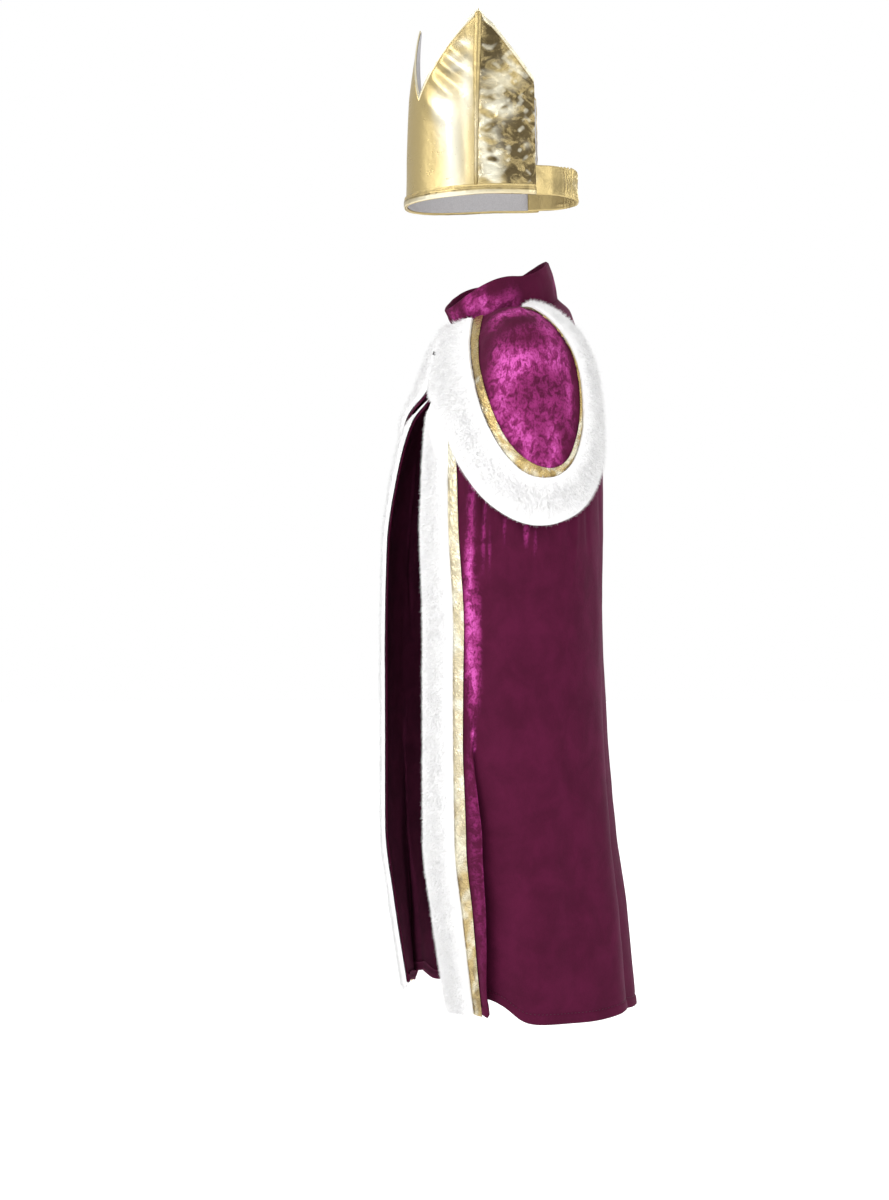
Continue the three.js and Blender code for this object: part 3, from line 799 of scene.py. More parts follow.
class StitchMaker:
    """Rows of stitches along a line of points on a surface."""

    def __init__(self) -> None:
        """Builds the tree once."""
        self.model = NodeModelling("stitch_row", {"Length": 0.0026, "Width": 0.0006})
        desk, given = self.model.desk, self.model.given
        ball = desk.add("GeometryNodeMeshUVSphere", Segments=6, Rings=4, Radius=0.5)
        size = desk.add("ShaderNodeCombineXYZ", X=given["Length"], Y=given["Width"],
                        Z=given["Width"])
        shaped = desk.add("GeometryNodeTransform", Geometry=ball.outputs["Mesh"],
                          Scale=size.outputs[0])
        along = self.model.faced("X", self.model.carried("along"))
        upright = self.model.faced("Z", self.model.carried("up"), Rotation=along)
        self.model.strew(given["Geometry"], shaped.outputs["Geometry"], upright)

    def row(self, name: str, line: Array, outward: Array, pitch: float,
            material: Material, slot: Slot, length: float = 2.4,
            width: float = 0.55) -> Piece:
        """A row of stitches.

        Args:
            name: The piece's name.
            line: Points along the row, in millimetres.
            outward: The surface's outward direction at each point.
            pitch: The distance from stitch to stitch, in millimetres.
            material: The thread.
            slot: The piece's slot.
            length: A stitch's length, in millimetres.
            width: A stitch's breadth, in millimetres.

        Returns:
            The finished piece.
        """
        steps = np.linalg.norm(np.diff(line, axis=0), axis=1)
        reached = np.concatenate([[0.0], np.cumsum(steps)])
        places = np.arange(pitch / 2, reached[-1], pitch)

        def read(values: Array, at: Array) -> Array:
            """Values of the line's points, read at distances along it."""
            return np.stack([np.interp(at, reached, values[:, k]) for k in range(3)], 1)

        mesh = bpy.data.meshes.new(name + "_places")
        mesh.from_pydata((read(line, places) * MM).tolist(), [], [])
        ahead = read(line, places + 0.5) - read(line, places - 0.5)
        for key, values in (("along", ahead), ("up", read(outward, places))):
            attribute = mesh.attributes.new(key, "FLOAT_VECTOR", "POINT")
            attribute.data.foreach_set("vector", values.ravel().astype(np.float32))
        source = placed(mesh.name, mesh)
        piece = self.model.made(name, source, Length=length * MM, Width=width * MM,
                                Finish=material)
        bpy.data.objects.remove(source)
        return finished(piece, material, slot)


class PileMaker:
    """The pile of a fur: thin spikes that lean with the nap, on the fur's own surface."""

    # below this share of its length no pile grows
    BARE = 0.02
    # the shortest and the longest spike, as shares of the length
    UNEVEN = (0.6, 1.4)

    def __init__(self) -> None:
        """Builds the tree once."""
        self.model = NodeModelling("fur_pile", {
            "Density": 1.0e6, "Length": 0.006, "Width": 0.0005, "Lean": 0.7, "Spread": 0.7,
            "Seed": 1})
        desk, given = self.model.desk, self.model.given
        grown = self.model.carried("pile", "FLOAT")
        hairy = desk.maths("GREATER_THAN", grown, self.BARE)
        spots = desk.add("GeometryNodeDistributePointsOnFaces", Mesh=given["Geometry"],
                         Density=desk.maths("MULTIPLY", given["Density"], hairy),
                         Seed=given["Seed"])
        spike = desk.add("GeometryNodeMeshCone", {"fill_type": "NONE"}, Vertices=3,
                         Radius_Bottom=desk.scaled(given["Width"], 0.5), Radius_Top=0.0,
                         Depth=given["Length"])
        wild = desk.add("FunctionNodeRandomValue", {"data_type": "FLOAT_VECTOR"},
                        Seed=given["Seed"])
        grow = desk.add("FunctionNodeRandomValue", {"data_type": "FLOAT"}, Seed=given["Seed"])
        for node, place, limit in ((wild, 0, (-1, -1, -1)), (wild, 1, (1, 1, 1)),
                                   (grow, 2, self.UNEVEN[0]), (grow, 3, self.UNEVEN[1])):
            desk.feed(node, place, limit)
        down = desk.add("ShaderNodeCombineXYZ", Z=desk.scaled(given["Lean"], -1))
        leaning = desk.vectors("ADD", spots.outputs["Normal"], down.outputs[0])
        stray = desk.vectors("SCALE", wild.outputs[0], given["Spread"])
        turned = self.model.faced("Z", desk.vectors("ADD", leaning, stray))
        self.model.strew(spots.outputs["Points"], spike.outputs["Mesh"], turned,
                         Scale=desk.maths("MULTIPLY", grow.outputs[1], grown))

    def grow(self, name: str, surface: Piece, material: Material,
             density: float, length: float, seed: int, lean: float = 0.7) -> Piece:
        """Grows pile over a surface that carries a "pile" number from 0 to 1.

        Args:
            name: The piece's name.
            surface: The fur's base.
            material: The fur.
            density: Spikes in a square millimetre.
            length: A full spike's length, in millimetres.
            seed: The number that fixes the pattern.
            lean: How far the nap leans down.

        Returns:
            The finished piece.
        """
        piece = self.model.made(name, surface, Density=density * 1e6, Length=length * MM,
                                Seed=seed, Lean=lean, Finish=material)
        return finished(piece, material, Slot.FUR)


# The robe's surface

SIDE_Y = -5.0
BACK_POWER = 2.1
HEM_FALL = 802.0
CLOTH = 2.0
HEM_CLOTH = 3.8
SEAM_GAP = 0.35
LIE_GAP = 0.95
TAPE_WIDTH = 12.0
FUR_PILE = 9.0
FUR_EDGE_PILE = 3.0

LEVELS = Table(
    ("fall", "half_width", "back", "front", "side_z", "back_z", "front_z",
     "edge_x", "front_power", "fur_width"),
    [
        (0, 56, 57, -55, -4, 15, -21, 1.2, 2.0, 44),
        (30, 84, 66, -63, -11, 1, -34, 1.2, 1.8, 44),
        (62, 112, 72, -69, -24, -21, -50, 1.2, 1.75, 44),
        (95, 134, 80, -73, -44, -50, -68, 1.2, 1.8, 44),
        (130, 147, 87, -80, -74, -83, -91, 4, 1.9, 44),
        (175, 154, 92, -97, -117, -122, -121, 36, 2.0, 44),
        (240, 159, 96, -112, -180, -180, -180, 60, 2.1, 44),
        (310, 163, 96, -122, -250, -250, -250, 76, 2.2, 44),
        (410, 167, 96, -125, -350, -350, -350, 86, 2.2, 44),
        (510, 171, 99, -124, -450, -450, -450, 86, 2.2, 45),
        (620, 175, 108, -123, -560, -560, -560, 86, 2.2, 48),
        (700, 177, 120, -112, -640, -640, -638, 86, 2.2, 49),
        (802, 180, 132, -95, -742, -747, -731, 86, 2.2, 49),
    ],
)

# the turn of the deep fold beside each front, and how far its line moves forward down the robe
DEEP_FOLD = 121.0
FOLD_LINE = Table(("fall", "forward"), [
    (430, 0), (525, 1.5), (566, -1.7), (620, -4.4), (670, -4.0), (723, -2.3), (776, 0.6),
    (802, 0.8)])

# turn, breadth towards the back, breadth towards the front, out, start, full
FOLDS = (
    (125.5, 3, 3, 3.5, 450, 650),
    (DEEP_FOLD, 14, 1.6, -11, 450, 680),
    (78, 9, 9, -4, 380, 760),
    (52, 8, 8, 5, 300, 780),
    (33, 7, 7, -9, 260, 780),
    (14, 8, 8, 6, 210, 700),
    (-6, 7, 7, -8, 190, 740),
    (-27, 8, 8, 7, 240, 760),
    (-47, 7, 7, -8, 290, 790),
    (-74, 9, 9, 5, 360, 780),
    (-DEEP_FOLD, 11, 1.6, -10, 470, 720),
    (-125.5, 3, 3, 3.5, 450, 650),
)


def section_point(turn: Array, ring: dict[str, Array], front_power: Array) -> Array:
    """A point of a rounded section: half an ellipse of any power behind the side, half in front.

    Args:
        turn: Degrees from the centre back.
        ring: The section's sizes.
        front_power: The power of its front half.

    Returns:
        Points, in millimetres.
    """
    angle = np.radians(np.abs(turn))
    across, along = np.maximum(np.sin(angle), 0.0), np.cos(angle)
    in_front = along < 0
    power = 2 / np.where(in_front, front_power, BACK_POWER)
    reach = np.where(in_front, SIDE_Y - ring["front"], ring["back"] - SIDE_Y)
    end_z = np.where(in_front, ring["front_z"], ring["back_z"])
    return np.stack([
        np.sign(turn) * ring["half_width"] * across**power,
        SIDE_Y + np.sign(along) * reach * np.abs(along) ** power,
        ring["side_z"] * across**2 + end_z * along**2,
    ], -1)


class RobeSurface:
    """The robe's outer face as a function of turn and fall."""

    def smooth_form(self, turn: Array, fall: Array) -> Array:
        """The robe without its folds."""
        level = LEVELS.row(fall)
        return section_point(turn, level, level["front_power"])

    def fold_out(self, turn: Array, fall: Array) -> Array:
        """How far the hanging folds stand out."""
        out = np.zeros_like(turn)
        for at, back, front, reach, start, full in FOLDS:
            near = (turn - at) / np.where(np.abs(turn) > np.abs(at), front, back)
            out = out + reach * np.exp(-(near**2)) * smooth(fall, start, full)
        return out

    def gathered(self, turn: Array, fall: Array) -> Array:
        """Where the cloth of a turn lies, once the deep folds are laid over themselves."""
        near = np.abs(turn) - DEEP_FOLD
        reach = np.where(near > 2, 5.0, 12.0)
        line = FOLD_LINE.read("forward", np.maximum(fall, FOLD_LINE.key[0]))
        line = line * np.exp(-(((near - 2) / reach) ** 2))
        under = 9 * np.exp(-((near / np.where(near > 0, 1.6, 9.0)) ** 2))
        return turn + np.sign(turn) * (line + under * smooth(fall, 470, 640))

    @staticmethod
    def outward(form: Callable[[Array, Array], Array], turn: Array, fall: Array) -> Array:
        """The outward direction of a surface given as a function of turn and fall."""
        around = form(turn + 0.4, fall) - form(turn - 0.4, fall)
        down = form(turn, fall + 1) - form(turn, fall - 1)
        direction = np.cross(around, down)
        return direction / np.linalg.norm(direction, axis=-1, keepdims=True)

    def folded(self, turn: Array, fall: Array) -> Array:
        """The robe with its folds."""
        out = self.fold_out(turn, fall)[..., None]
        place = self.gathered(turn, fall)
        return self.smooth_form(place, fall) + out * self.outward(self.smooth_form, place, fall)

    def point(self, turn: Array, fall: Array, out: Array | float = 0.0) -> Array:
        """The folded face moved out.

        Args:
            turn: Degrees from the centre back.
            fall: Millimetres down the side.
            out: Millimetres out from the face.

        Returns:
            Points, in millimetres.
        """
        turn, fall = np.broadcast_arrays(np.asarray(turn, float), np.asarray(fall, float))
        out = np.broadcast_to(out, turn.shape)[..., None]
        return self.folded(turn, fall) + out * self.outward(self.folded, turn, fall)

    def edge_turn(self, fall: Array) -> Array:
        """The turn of the open front edge."""
        level = LEVELS.row(fall)
        share = (level["edge_x"] / level["half_width"]) ** (level["front_power"] / 2)
        return 180 - np.degrees(np.arcsin(share))

    def turn_back(self, turn: Array, fall: Array, distance: Array) -> Array:
        """The turn reached by going back over the cloth by a distance in millimetres."""
        steps = 5
        reached = np.asarray(turn, float)
        for _ in range(steps):
            gap = self.smooth_form(reached, fall) - self.smooth_form(reached - 1, fall)
            reached = reached - distance / steps / np.linalg.norm(gap, axis=-1)
        return reached

    def fur_turn(self, fall: Array, share: Array) -> Array:
        """The turn at a share of the way over the front fur, from the open edge."""
        width = LEVELS.read("fur_width", fall)
        return self.turn_back(self.edge_turn(fall), fall, width * share)


class StationCurve:
    """A smooth curve through the stations of a lobe's edge, in turn and fall."""

    def __init__(self, points: Array) -> None:
        """Keeps the stations, with one more beyond each end."""
        self.count = len(points)
        self.points = np.vstack([2 * points[0] - points[1], points, 2 * points[-1] - points[-2]])

    def at(self, share: Array) -> Array:
        """The turn and fall at a share of the way along, as pairs."""
        place = np.clip(share, 0, 1) * (self.count - 1)
        i = np.minimum(np.floor(place).astype(int), self.count - 2)
        w = (place - i)[..., None]
        p0, p1, p2, p3 = (self.points[i + k] for k in range(4))
        t0, t1 = 0.5 * (p2 - p0), 0.5 * (p3 - p1)
        bend = -3 * p1 + 3 * p2 - 2 * t0 - t1
        return p1 + w * (t0 + w * (bend + w * (2 * p1 - 2 * p2 + t0 + t1)))


LOBE_STATIONS = np.array([
    # edge turn, edge fall, braid turn, braid fall
    (179.2, 7, 139, 7),
    (179.2, 38, 139.5, 38),
    (179.2, 80, 140, 77),
    (178.3, 115, 137.5, 113),
    (172, 141, 131.5, 143),
    (160, 160, 125.5, 166),
    (147, 187, 117.5, 197),
    (134, 229, 109.5, 222),
    (116, 271, 101, 239.5),
    (96, 293, 92.5, 246),
    (76, 284, 84, 243.5),
    (60, 260, 76, 231),
    (50, 227, 70, 209),
    (46, 186, 66.5, 183),
    (46, 140, 66, 138),
    (50, 103, 69.5, 105),
    (57, 73, 76, 79),
    (64, 41, 82, 46),
    (69, 7, 86, 7),
])
LOBE_FRONT_CORNER = 4
LOBE_BACK_CORNER = 12


@dataclass
class LobeForm:
    """A shoulder lobe's place over the robe."""

    neck_fall: float = 7
    lift: float = 3.2
    lift_fall: float = 110
    bulge_turn: float = 104
    bulge_fall: float = 115
    bulge_half_turn: float = 33
    bulge_half_fall: float = 125
    bulge_out: float = 9
    edge: StationCurve = field(default_factory=lambda: StationCurve(LOBE_STATIONS[:, :2]))
    tape: StationCurve = field(default_factory=lambda: StationCurve(LOBE_STATIONS[:, 2:]))

    def stand(self, turn: Array, fall: Array) -> Array:
        """How far the lobe's outer face stands from the robe's."""
        away = ((turn - self.bulge_turn) / self.bulge_half_turn) ** 2
        away = away + ((fall - self.bulge_fall) / self.bulge_half_fall) ** 2
        bulge = self.bulge_out * np.maximum(0.0, 1 - away)
        lift = self.lift * smooth(fall, self.neck_fall, self.lift_fall)
        return LIE_GAP + CLOTH + lift + bulge

    def point(self, robe: RobeSurface, turn: Array, fall: Array,
              out: Array | float = 0.0) -> Array:
        """The lobe's outer face moved out."""
        return robe.point(turn, fall, self.stand(turn, fall) + out)

    def panel_places(self, u: Array, v: Array) -> tuple[Array, Array]:
        """The turn and fall of places on the panel.

        Args:
            u: Shares from the front edge to the back edge.
            v: Shares from the neck to the lower edge.

        Returns:
            Turns and falls.
        """
        last = len(LOBE_STATIONS) - 1

        def station(start: int, end: int, share: Array) -> Array:
            """A point of the outer edge between two stations."""
            return self.edge.at((start + (end - start) * share) / last)

        nought = np.zeros_like(u)
        neck_front, neck_back = station(0, 0, nought), station(last, last, nought)
        low_front = station(LOBE_FRONT_CORNER, LOBE_FRONT_CORNER, nought)
        low_back = station(LOBE_BACK_CORNER, LOBE_BACK_CORNER, nought)
        across, down = u[..., None], v[..., None]
        neck = neck_front + (neck_back - neck_front) * across
        low = station(LOBE_FRONT_CORNER, LOBE_BACK_CORNER, u)
        front = station(0, LOBE_FRONT_CORNER, v)
        back = station(last, LOBE_BACK_CORNER, v)
        flat_low = low_front + (low_back - low_front) * across
        corners = neck + (flat_low - neck) * down
        place = neck + (low - neck) * down + front + (back - front) * across - corners
        return place[..., 0], place[..., 1]


# Millimetres round the robe in one degree of turn, near its side
PER_TURN = 2.9


def grid(rows: Array, columns: Array) -> tuple[Array, Array]:
    """Row and column values over a grid, rows first."""
    v, u = np.meshgrid(rows, columns, indexing="ij")
    return v, u


def stepped(*stops: tuple[float, int]) -> Array:
    """Values from the first stop on, with each later stop's own count of even steps up to it."""
    parts = [np.linspace(a, b, count + 1)[1:] for (a, _), (b, count) in zip(stops, stops[1:])]
    return np.concatenate([[stops[0][0]], *parts])


def both_ways(half: Array) -> Array:
    """Values from nought out, given to both sides of nought."""
    return np.concatenate([-half[:0:-1], half])


@dataclass
class RobeBody:
    """The velvet body of the robe, hanging open down the front."""

    stretches: tuple[tuple[float, int], ...] = (
        (0.0, 1), (0.6, 60), (0.765, 26), (0.83, 54), (1.0, 20))
    rows: int = 150
    hem_roll: float = 9.0
    # turn, breadth at lower turns, breadth at higher turns, and how far the hem rises there
    hem_rises: Rows = (
        (121.5, 12, 1.5, 14.5), (114, 7, 7, 3), (140, 17, 17, 3.5), (44, 17, 17, 7),
        (8, 22, 22, 3), (-34, 18, 18, 5), (-80, 18, 18, 2), (-121.5, 1.5, 10, 12),
        (-140, 17, 17, 3))
    neck_bump: float = 3.0
    flat_width: float = 1.36
    flat_length: float = 0.80
    flat_area: float = 0.64
    creases: Rows = (
        (128.5, 205, 123.2, 345, 4, -3), (126, 225, 121.2, 430, 4.5, 2.4),
        (121.4, 240, 118, 350, 3.6, -2.2), (118.2, 235, 114.6, 330, 4.5, 1.6),
        (110.5, 262, 107, 318, 4, -1.2), (103.8, 268, 95, 330, 4.5, -1.8),
        (101, 270, 92.5, 322, 4, 1.5), (90, 285, 86, 350, 6, -1), (71, 250, 77, 325, 4.5, -1.8),
        (67.5, 245, 72, 345, 5, 1.4), (60, 235, 58, 330, 6, -1.6),
        (126.5, 470, 121.5, 560, 3.5, 1.6), (124.5, 500, 119.8, 522, 2.5, 1.6),
        (-128, 215, -123, 330, 4.2, -2.6), (-125, 230, -120, 400, 4.6, 2.1),
        (-119.5, 245, -117, 335, 3.8, -1.8), (-106, 270, -99, 335, 4.6, -1.6),
        (-96, 288, -91, 360, 5, 1.3), (-76, 262, -80, 330, 4.8, -1.5),
        (-63, 240, -60, 345, 5.5, -1.7), (44, 130, 40, 330, 8, -1.6), (24, 60, 22, 300, 9, 1.6),
        (4, 40, 5, 330, 10, -1.8), (-18, 55, -16, 290, 8, 1.5), (-38, 110, -36, 340, 9, -1.7))
    # Patches of painted sheen, where the pile catches the light: turn, fall, half breadth, half
    # length and strength.
    sheen_patches: Rows = (
        (126.5, 262, 2.2, 34, 0.55), (125.5, 330, 2.6, 34, 0.75), (124, 395, 3, 34, 0.95),
        (126, 365, 1.6, 30, 0.5), (123.5, 455, 3, 30, 0.85), (126.5, 430, 1.5, 22, 0.5),
        (122.6, 508, 1, 10, 0.95), (121, 520, 0.8, 8, 0.8), (119, 300, 1.2, 34, 0.42),
        (115.5, 320, 0.8, 22, 0.30), (120.5, 400, 1.2, 30, 0.30), (126, 575, 2.4, 60, 0.22),
        (126.5, 690, 2.6, 90, 0.19), (123.9, 640, 0.6, 110, 0.20), (108.5, 300, 0.8, 14, 0.35),
        (98, 302, 1.1, 13, 0.50), (94, 312, 0.7, 12, 0.30), (74, 272, 1, 14, 0.40),
        (69, 268, 0.8, 20, 0.30), (-124.5, 300, 2.6, 40, 0.55), (-125, 380, 3, 45, 0.85),
        (-123, 465, 2.6, 35, 0.6), (-119, 330, 1.2, 34, 0.35), (-125.5, 660, 1.8, 100, 0.15),
        (-100, 300, 1.2, 14, 0.42), (-88, 306, 1, 14, 0.30), (-72, 272, 1.2, 16, 0.35),
        (38, 150, 8, 60, 0.32), (22, 70, 9, 30, 0.34), (-2, 120, 7, 70, 0.26),
        (-28, 80, 10, 34, 0.32), (-39, 190, 6, 60, 0.28), (6, 30, 14, 12, 0.30))

    def hem(self, turn: Array) -> Array:
        """The fall of the hem's edge at a turn."""
        rise = sum(up * np.exp(-(((turn - at) / np.where(turn > at, high, low)) ** 2))
                   for at, low, high, up in self.hem_rises)
        return HEM_FALL - rise

    def drape(self, robe: RobeSurface, turn: Array, fall: Array) -> Array:
        """How far small creases, unevenness and the rolled hem move the cloth, in millimetres."""
        lift = creased(self.creases, turn, fall, PER_TURN)
        round_mm = turn * PER_TURN
        free = smooth(fall, 150, 320)
        near_neck = (turn / 27) ** 2 + ((fall - 32) / 18) ** 2
        lift = lift + self.neck_bump * np.exp(-near_neck)
        lift = lift + free * 0.9 * soft_noise(round_mm, fall * 0.35, 34, 11)
        lift = lift + free * 0.35 * soft_noise(round_mm, fall * 0.6, 13, 12)
        below = self.hem(turn) - fall
        roll = 0.9 * (1 - smooth(below, self.hem_roll - 2, self.hem_roll + 1.5))
        groove = -0.9 * np.exp(-(((below - self.hem_roll) / 1.6) ** 2))
        ripple = 0.8 * smooth(fall, 760, HEM_FALL) * soft_noise(round_mm, fall * 0.2, 22, 13)
        under_fur = smooth(robe.fur_turn(fall, 1.0) - np.abs(turn), 3.5, 7.5)
        return (lift + ripple) * under_fur + (roll + groove) * 0.9

    def build(self, robe: RobeSurface, wardrobe: Wardrobe, stitches: StitchMaker) -> None:
        """Makes the body and the stitches of its hem."""
        rows = stepped((0, 0), (1, self.rows - 15), (2, 14))
        row, share = grid(rows, both_ways(stepped(*self.stretches)))
        # the edge's turn hardly changes over the hem's rise, so the plain hem's is near enough
        hem = self.hem(share * robe.edge_turn(np.full_like(share, HEM_FALL)))
        above = hem - self.hem_roll - 3
        fall = np.where(row <= 1, row * above, above + (row - 1) * (hem - above))
        turn = share * robe.edge_turn(fall)
        lift = self.drape(robe, turn, fall)
        wall = np.where(hem - fall < self.hem_roll, HEM_CLOTH, CLOTH)
        outer = robe.point(turn, fall, lift)
        inner = robe.point(turn, fall, lift - wall)
        crush = patched(self.sheen_patches, turn, fall)
        piece = MeshMaker.shell("robe_body", outer, inner, (turn * PER_TURN, fall),
                                {"crush": crush})
        finished(piece, wardrobe.velvet, Slot.VELVET, "cape_body", back=wardrobe.wrong_side)
        stitch_turn = np.linspace(-1, 1, 900) * robe.edge_turn(np.full(900, HEM_FALL - 10))
        stitch_fall = self.hem(stitch_turn) - self.hem_roll
        sunk = self.drape(robe, stitch_turn, stitch_fall) + 0.1
        stitches.row("robe_hem_stitches", robe.point(stitch_turn, stitch_fall, sunk),
                     robe.outward(robe.folded, stitch_turn, stitch_fall), 4.2,
                     wardrobe.plum_thread, Slot.VELVET)


@dataclass
class StandCollar:
    """The stand collar: a soft velvet band that rises at the back."""

    thickness: float = 3.0
    end_turn: float = 178.0
    height: float = 32.0
    rings: Table = field(default_factory=lambda: Table(
        ("up", "half_width", "back", "front", "side_z", "back_z", "front_z"),
        [
            (0, 55.7, 56.7, -54.7, -3.6, 15.4, -20.6),
            (0.5, 56.2, 53, -60.5, 14, 35, -10.5),
            (1, 55.4, 46, -66, 31.5, 54, -0.5),
        ]))
    creases: Rows = (
        (150, 0.2, 135, 0.9, 3.5, 0.9), (132, 0.05, 118, 0.8, 4, -1),
        (112, 0.1, 104, 0.95, 4, 0.8), (92, 0, 80, 0.8, 4.5, -0.8), (60, 0.1, 66, 0.9, 5, 0.7),
        (30, 0, 24, 0.9, 5, -0.8), (-10, 0.1, -4, 0.9, 5, 0.8), (-50, 0, -58, 0.8, 5, -0.8),
        (-95, 0.1, -88, 0.9, 4.5, 0.8), (-130, 0.1, -138, 0.9, 4, -0.9))
    # Patches of painted sheen: turn, share of the height, half breadth, half share and strength.
    sheen_patches: Rows = (
        (166, 0.5, 9, 0.5, 0.55), (141, 0.55, 7, 0.5, 0.75), (126, 0.45, 7, 0.5, 0.85),
        (112, 0.2, 9, 0.25, 0.65), (95, 0.3, 10, 0.4, 0.40), (-140, 0.5, 12, 0.4, 0.4),
        (-115, 0.3, 10, 0.4, 0.4), (20, 0.4, 16, 0.4, 0.25))

    def ring_point(self, turn: Array, up: Array, inset: Array) -> Array:
        """A point of the collar, moved in by an inset."""
        ring = self.rings.row(up)
        ring["half_width"] = ring["half_width"] - inset
        ring["back"] = ring["back"] - inset
        ring["front"] = ring["front"] + inset
        return section_point(turn, ring, 2.0)

    def build(self, wardrobe: Wardrobe) -> None:
        """Makes the collar."""
        up, turn = grid(np.linspace(0, 1, 34), np.linspace(-self.end_turn, self.end_turn, 220))
        tall = self.height
        creases = tuple((a, b * tall, c, d * tall, *e) for a, b, c, d, *e in self.creases)
        lift = creased(creases, turn, up * tall, 1.0)
        lift = lift * smooth(up, 0.02, 0.2) * (1 - 0.7 * smooth(up, 0.85, 1.0))
        lift = lift + 0.35 * soft_noise(turn, up * tall, 8, 21) * smooth(up, 0.02, 0.2)
        outer = self.ring_point(turn, up, -lift)
        inner = self.ring_point(turn, up, self.thickness - lift)
        piece = MeshMaker.shell("stand_collar", outer, inner, (turn, up * tall),
                                {"crush": patched(self.sheen_patches, turn, up)})
        finished(piece, wardrobe.velvet, Slot.VELVET, "collar")


@dataclass
class ShoulderLobe:
    """A shoulder lobe: a crushed-velvet panel with a fur edge and gold tape."""

    side: Side
    form: LobeForm = field(default_factory=LobeForm)
    # behind the shoulder the velvet lies over most of the tape, and higher up over nearly all
    tape_hidden: float = 0.60
    tape_hides: tuple[float, float] = (0.44, 0.64)
    tape_lost: float = 0.34
    tape_loses: tuple[float, float] = (0.68, 0.80)
    tape_length: float = 560.0
    fur_length: float = 700.0
    fur_width: float = 50.0
    creases: Rows = (
        (124, 40, 118, 75, 3.5, -1), (114, 30, 108, 80, 4.5, 1.1), (103, 28, 101, 75, 4, -1.1),
        (96, 22, 93, 62, 3.5, 0.9), (128, 90, 112, 104, 5, -1.2), (112, 104, 92, 106, 6, -1),
        (121, 120, 113, 160, 4, 1), (108, 128, 104, 200, 5, -0.9), (97, 120, 94, 170, 4.5, 0.9),
        (86, 125, 88, 185, 4, -1), (80, 150, 84, 215, 3.5, 1), (100, 180, 92, 228, 4, 1.1),
        (109, 170, 100, 222, 3.5, -1), (90, 190, 86, 232, 3.5, -1.1))
    # Patches of painted sheen: turn, fall, half breadth, half length and strength.
    sheen_patches: Rows = (
        (112, 47, 13, 11, 0.62), (95, 50, 12, 13, 0.66), (120, 66, 6, 12, 0.32),
        (99, 88, 16, 9, 0.22), (84, 76, 6, 24, 0.50), (80, 112, 6, 28, 0.45),
        (113, 132, 9, 24, 1.00), (118, 106, 5, 12, 0.35), (102, 126, 8, 17, 0.80),
        (87, 122, 9, 17, 0.62), (75, 160, 4, 38, 0.55), (114, 172, 5, 20, 0.75),
        (106, 196, 5, 20, 0.72), (98, 172, 12, 24, 0.28), (85, 168, 9, 28, 0.26),
        (98, 214, 5, 22, 0.80), (86, 214, 5, 24, 0.85), (92, 236, 9, 8, 0.45))

    def build(self, robe: RobeSurface, wardrobe: Wardrobe, pile: PileMaker) -> None:
        """Makes the panel, its tape and its fur."""
        self._panel(robe, wardrobe)
        self._tape(robe, wardrobe)
        self._fur(robe, wardrobe, pile)

    def _mirror(self, points: Array) -> Array:
        """Points of the left lobe, placed on this lobe's side."""
        return points * np.array([self.side.value, 1, 1])

    def _wrinkle(self, turn: Array, fall: Array) -> Array:
        """How far creases and puckers move the panel."""
        seed = self.side.pick(30, 40)
        lift = creased(self.creases, turn, fall, PER_TURN)
        lift = lift + 0.7 * soft_noise(turn * PER_TURN, fall, 15, seed)
        lift = lift + 0.35 * soft_noise(turn * PER_TURN, fall, 6.5, seed + 1)
        return lift * smooth(fall, 12, 34)

    def _panel(self, robe: RobeSurface, wardrobe: Wardrobe) -> None:
        """The velvet panel, under the fur out to the lobe's edge."""
        v, u = grid(np.linspace(0, 1, 96), np.linspace(0, 1, 150))
        turn, fall = self.form.panel_places(u, v)
        border = np.minimum(np.minimum(u, 1 - u) * 230, (1 - v) * 260)
        inside = smooth(border, 34, 50)
        lift = self._wrinkle(turn, fall) * inside
        lift = np.maximum(lift, 0.2 + CLOTH - self.form.stand(turn, fall))
        outer = self._mirror(self.form.point(robe, turn, fall, lift))
        inner = self._mirror(self.form.point(robe, turn, fall, lift - CLOTH))
        piece = MeshMaker.shell(
            self.side.named("lobe_panel"), outer, inner, (turn * PER_TURN, fall),
            {"crush": patched(self.sheen_patches, turn, fall)})
        finished(piece, wardrobe.velvet, Slot.VELVET, self.side.named("lobe"),
                 back=wardrobe.wrong_side)

    def _tape(self, robe: RobeSurface, wardrobe: Wardrobe) -> None:
        """The gold tape between the velvet and the fur."""
        tape = GoldTape()

        def place(along: Array, across: Array) -> tuple[Array, Array]:
            """The turn and fall across the tape, from the fur inwards."""
            outer_edge = self.form.tape.at(along)
            to_edge = (self.form.edge.at(along) - outer_edge) * 0.1
            here = self.form.point(robe, outer_edge[..., 0], outer_edge[..., 1])
            there = self.form.point(robe, *np.moveaxis(outer_edge + to_edge, -1, 0))
            gap = np.linalg.norm(here - there, axis=-1)
            shown = 1 - self.tape_hidden * smooth(along, *self.tape_hides)
            shown = shown - self.tape_lost * smooth(along, *self.tape_loses)
            inward = to_edge * (-TAPE_WIDTH * across * shown / gap)[..., None]
            spot = outer_edge + inward
            return spot[..., 0], spot[..., 1]

        along, across = grid(np.linspace(0, 1, 330), np.linspace(0, 1, 11))
        turn, fall = place(along, across)
        length = along * self.tape_length
        lift = tape.lift(length, across, self.side.pick(50, 60))
        outer = self._mirror(self.form.point(robe, turn, fall, LIE_GAP + lift))
        inner = self._mirror(self.form.point(robe, turn, fall, LIE_GAP - 0.6))
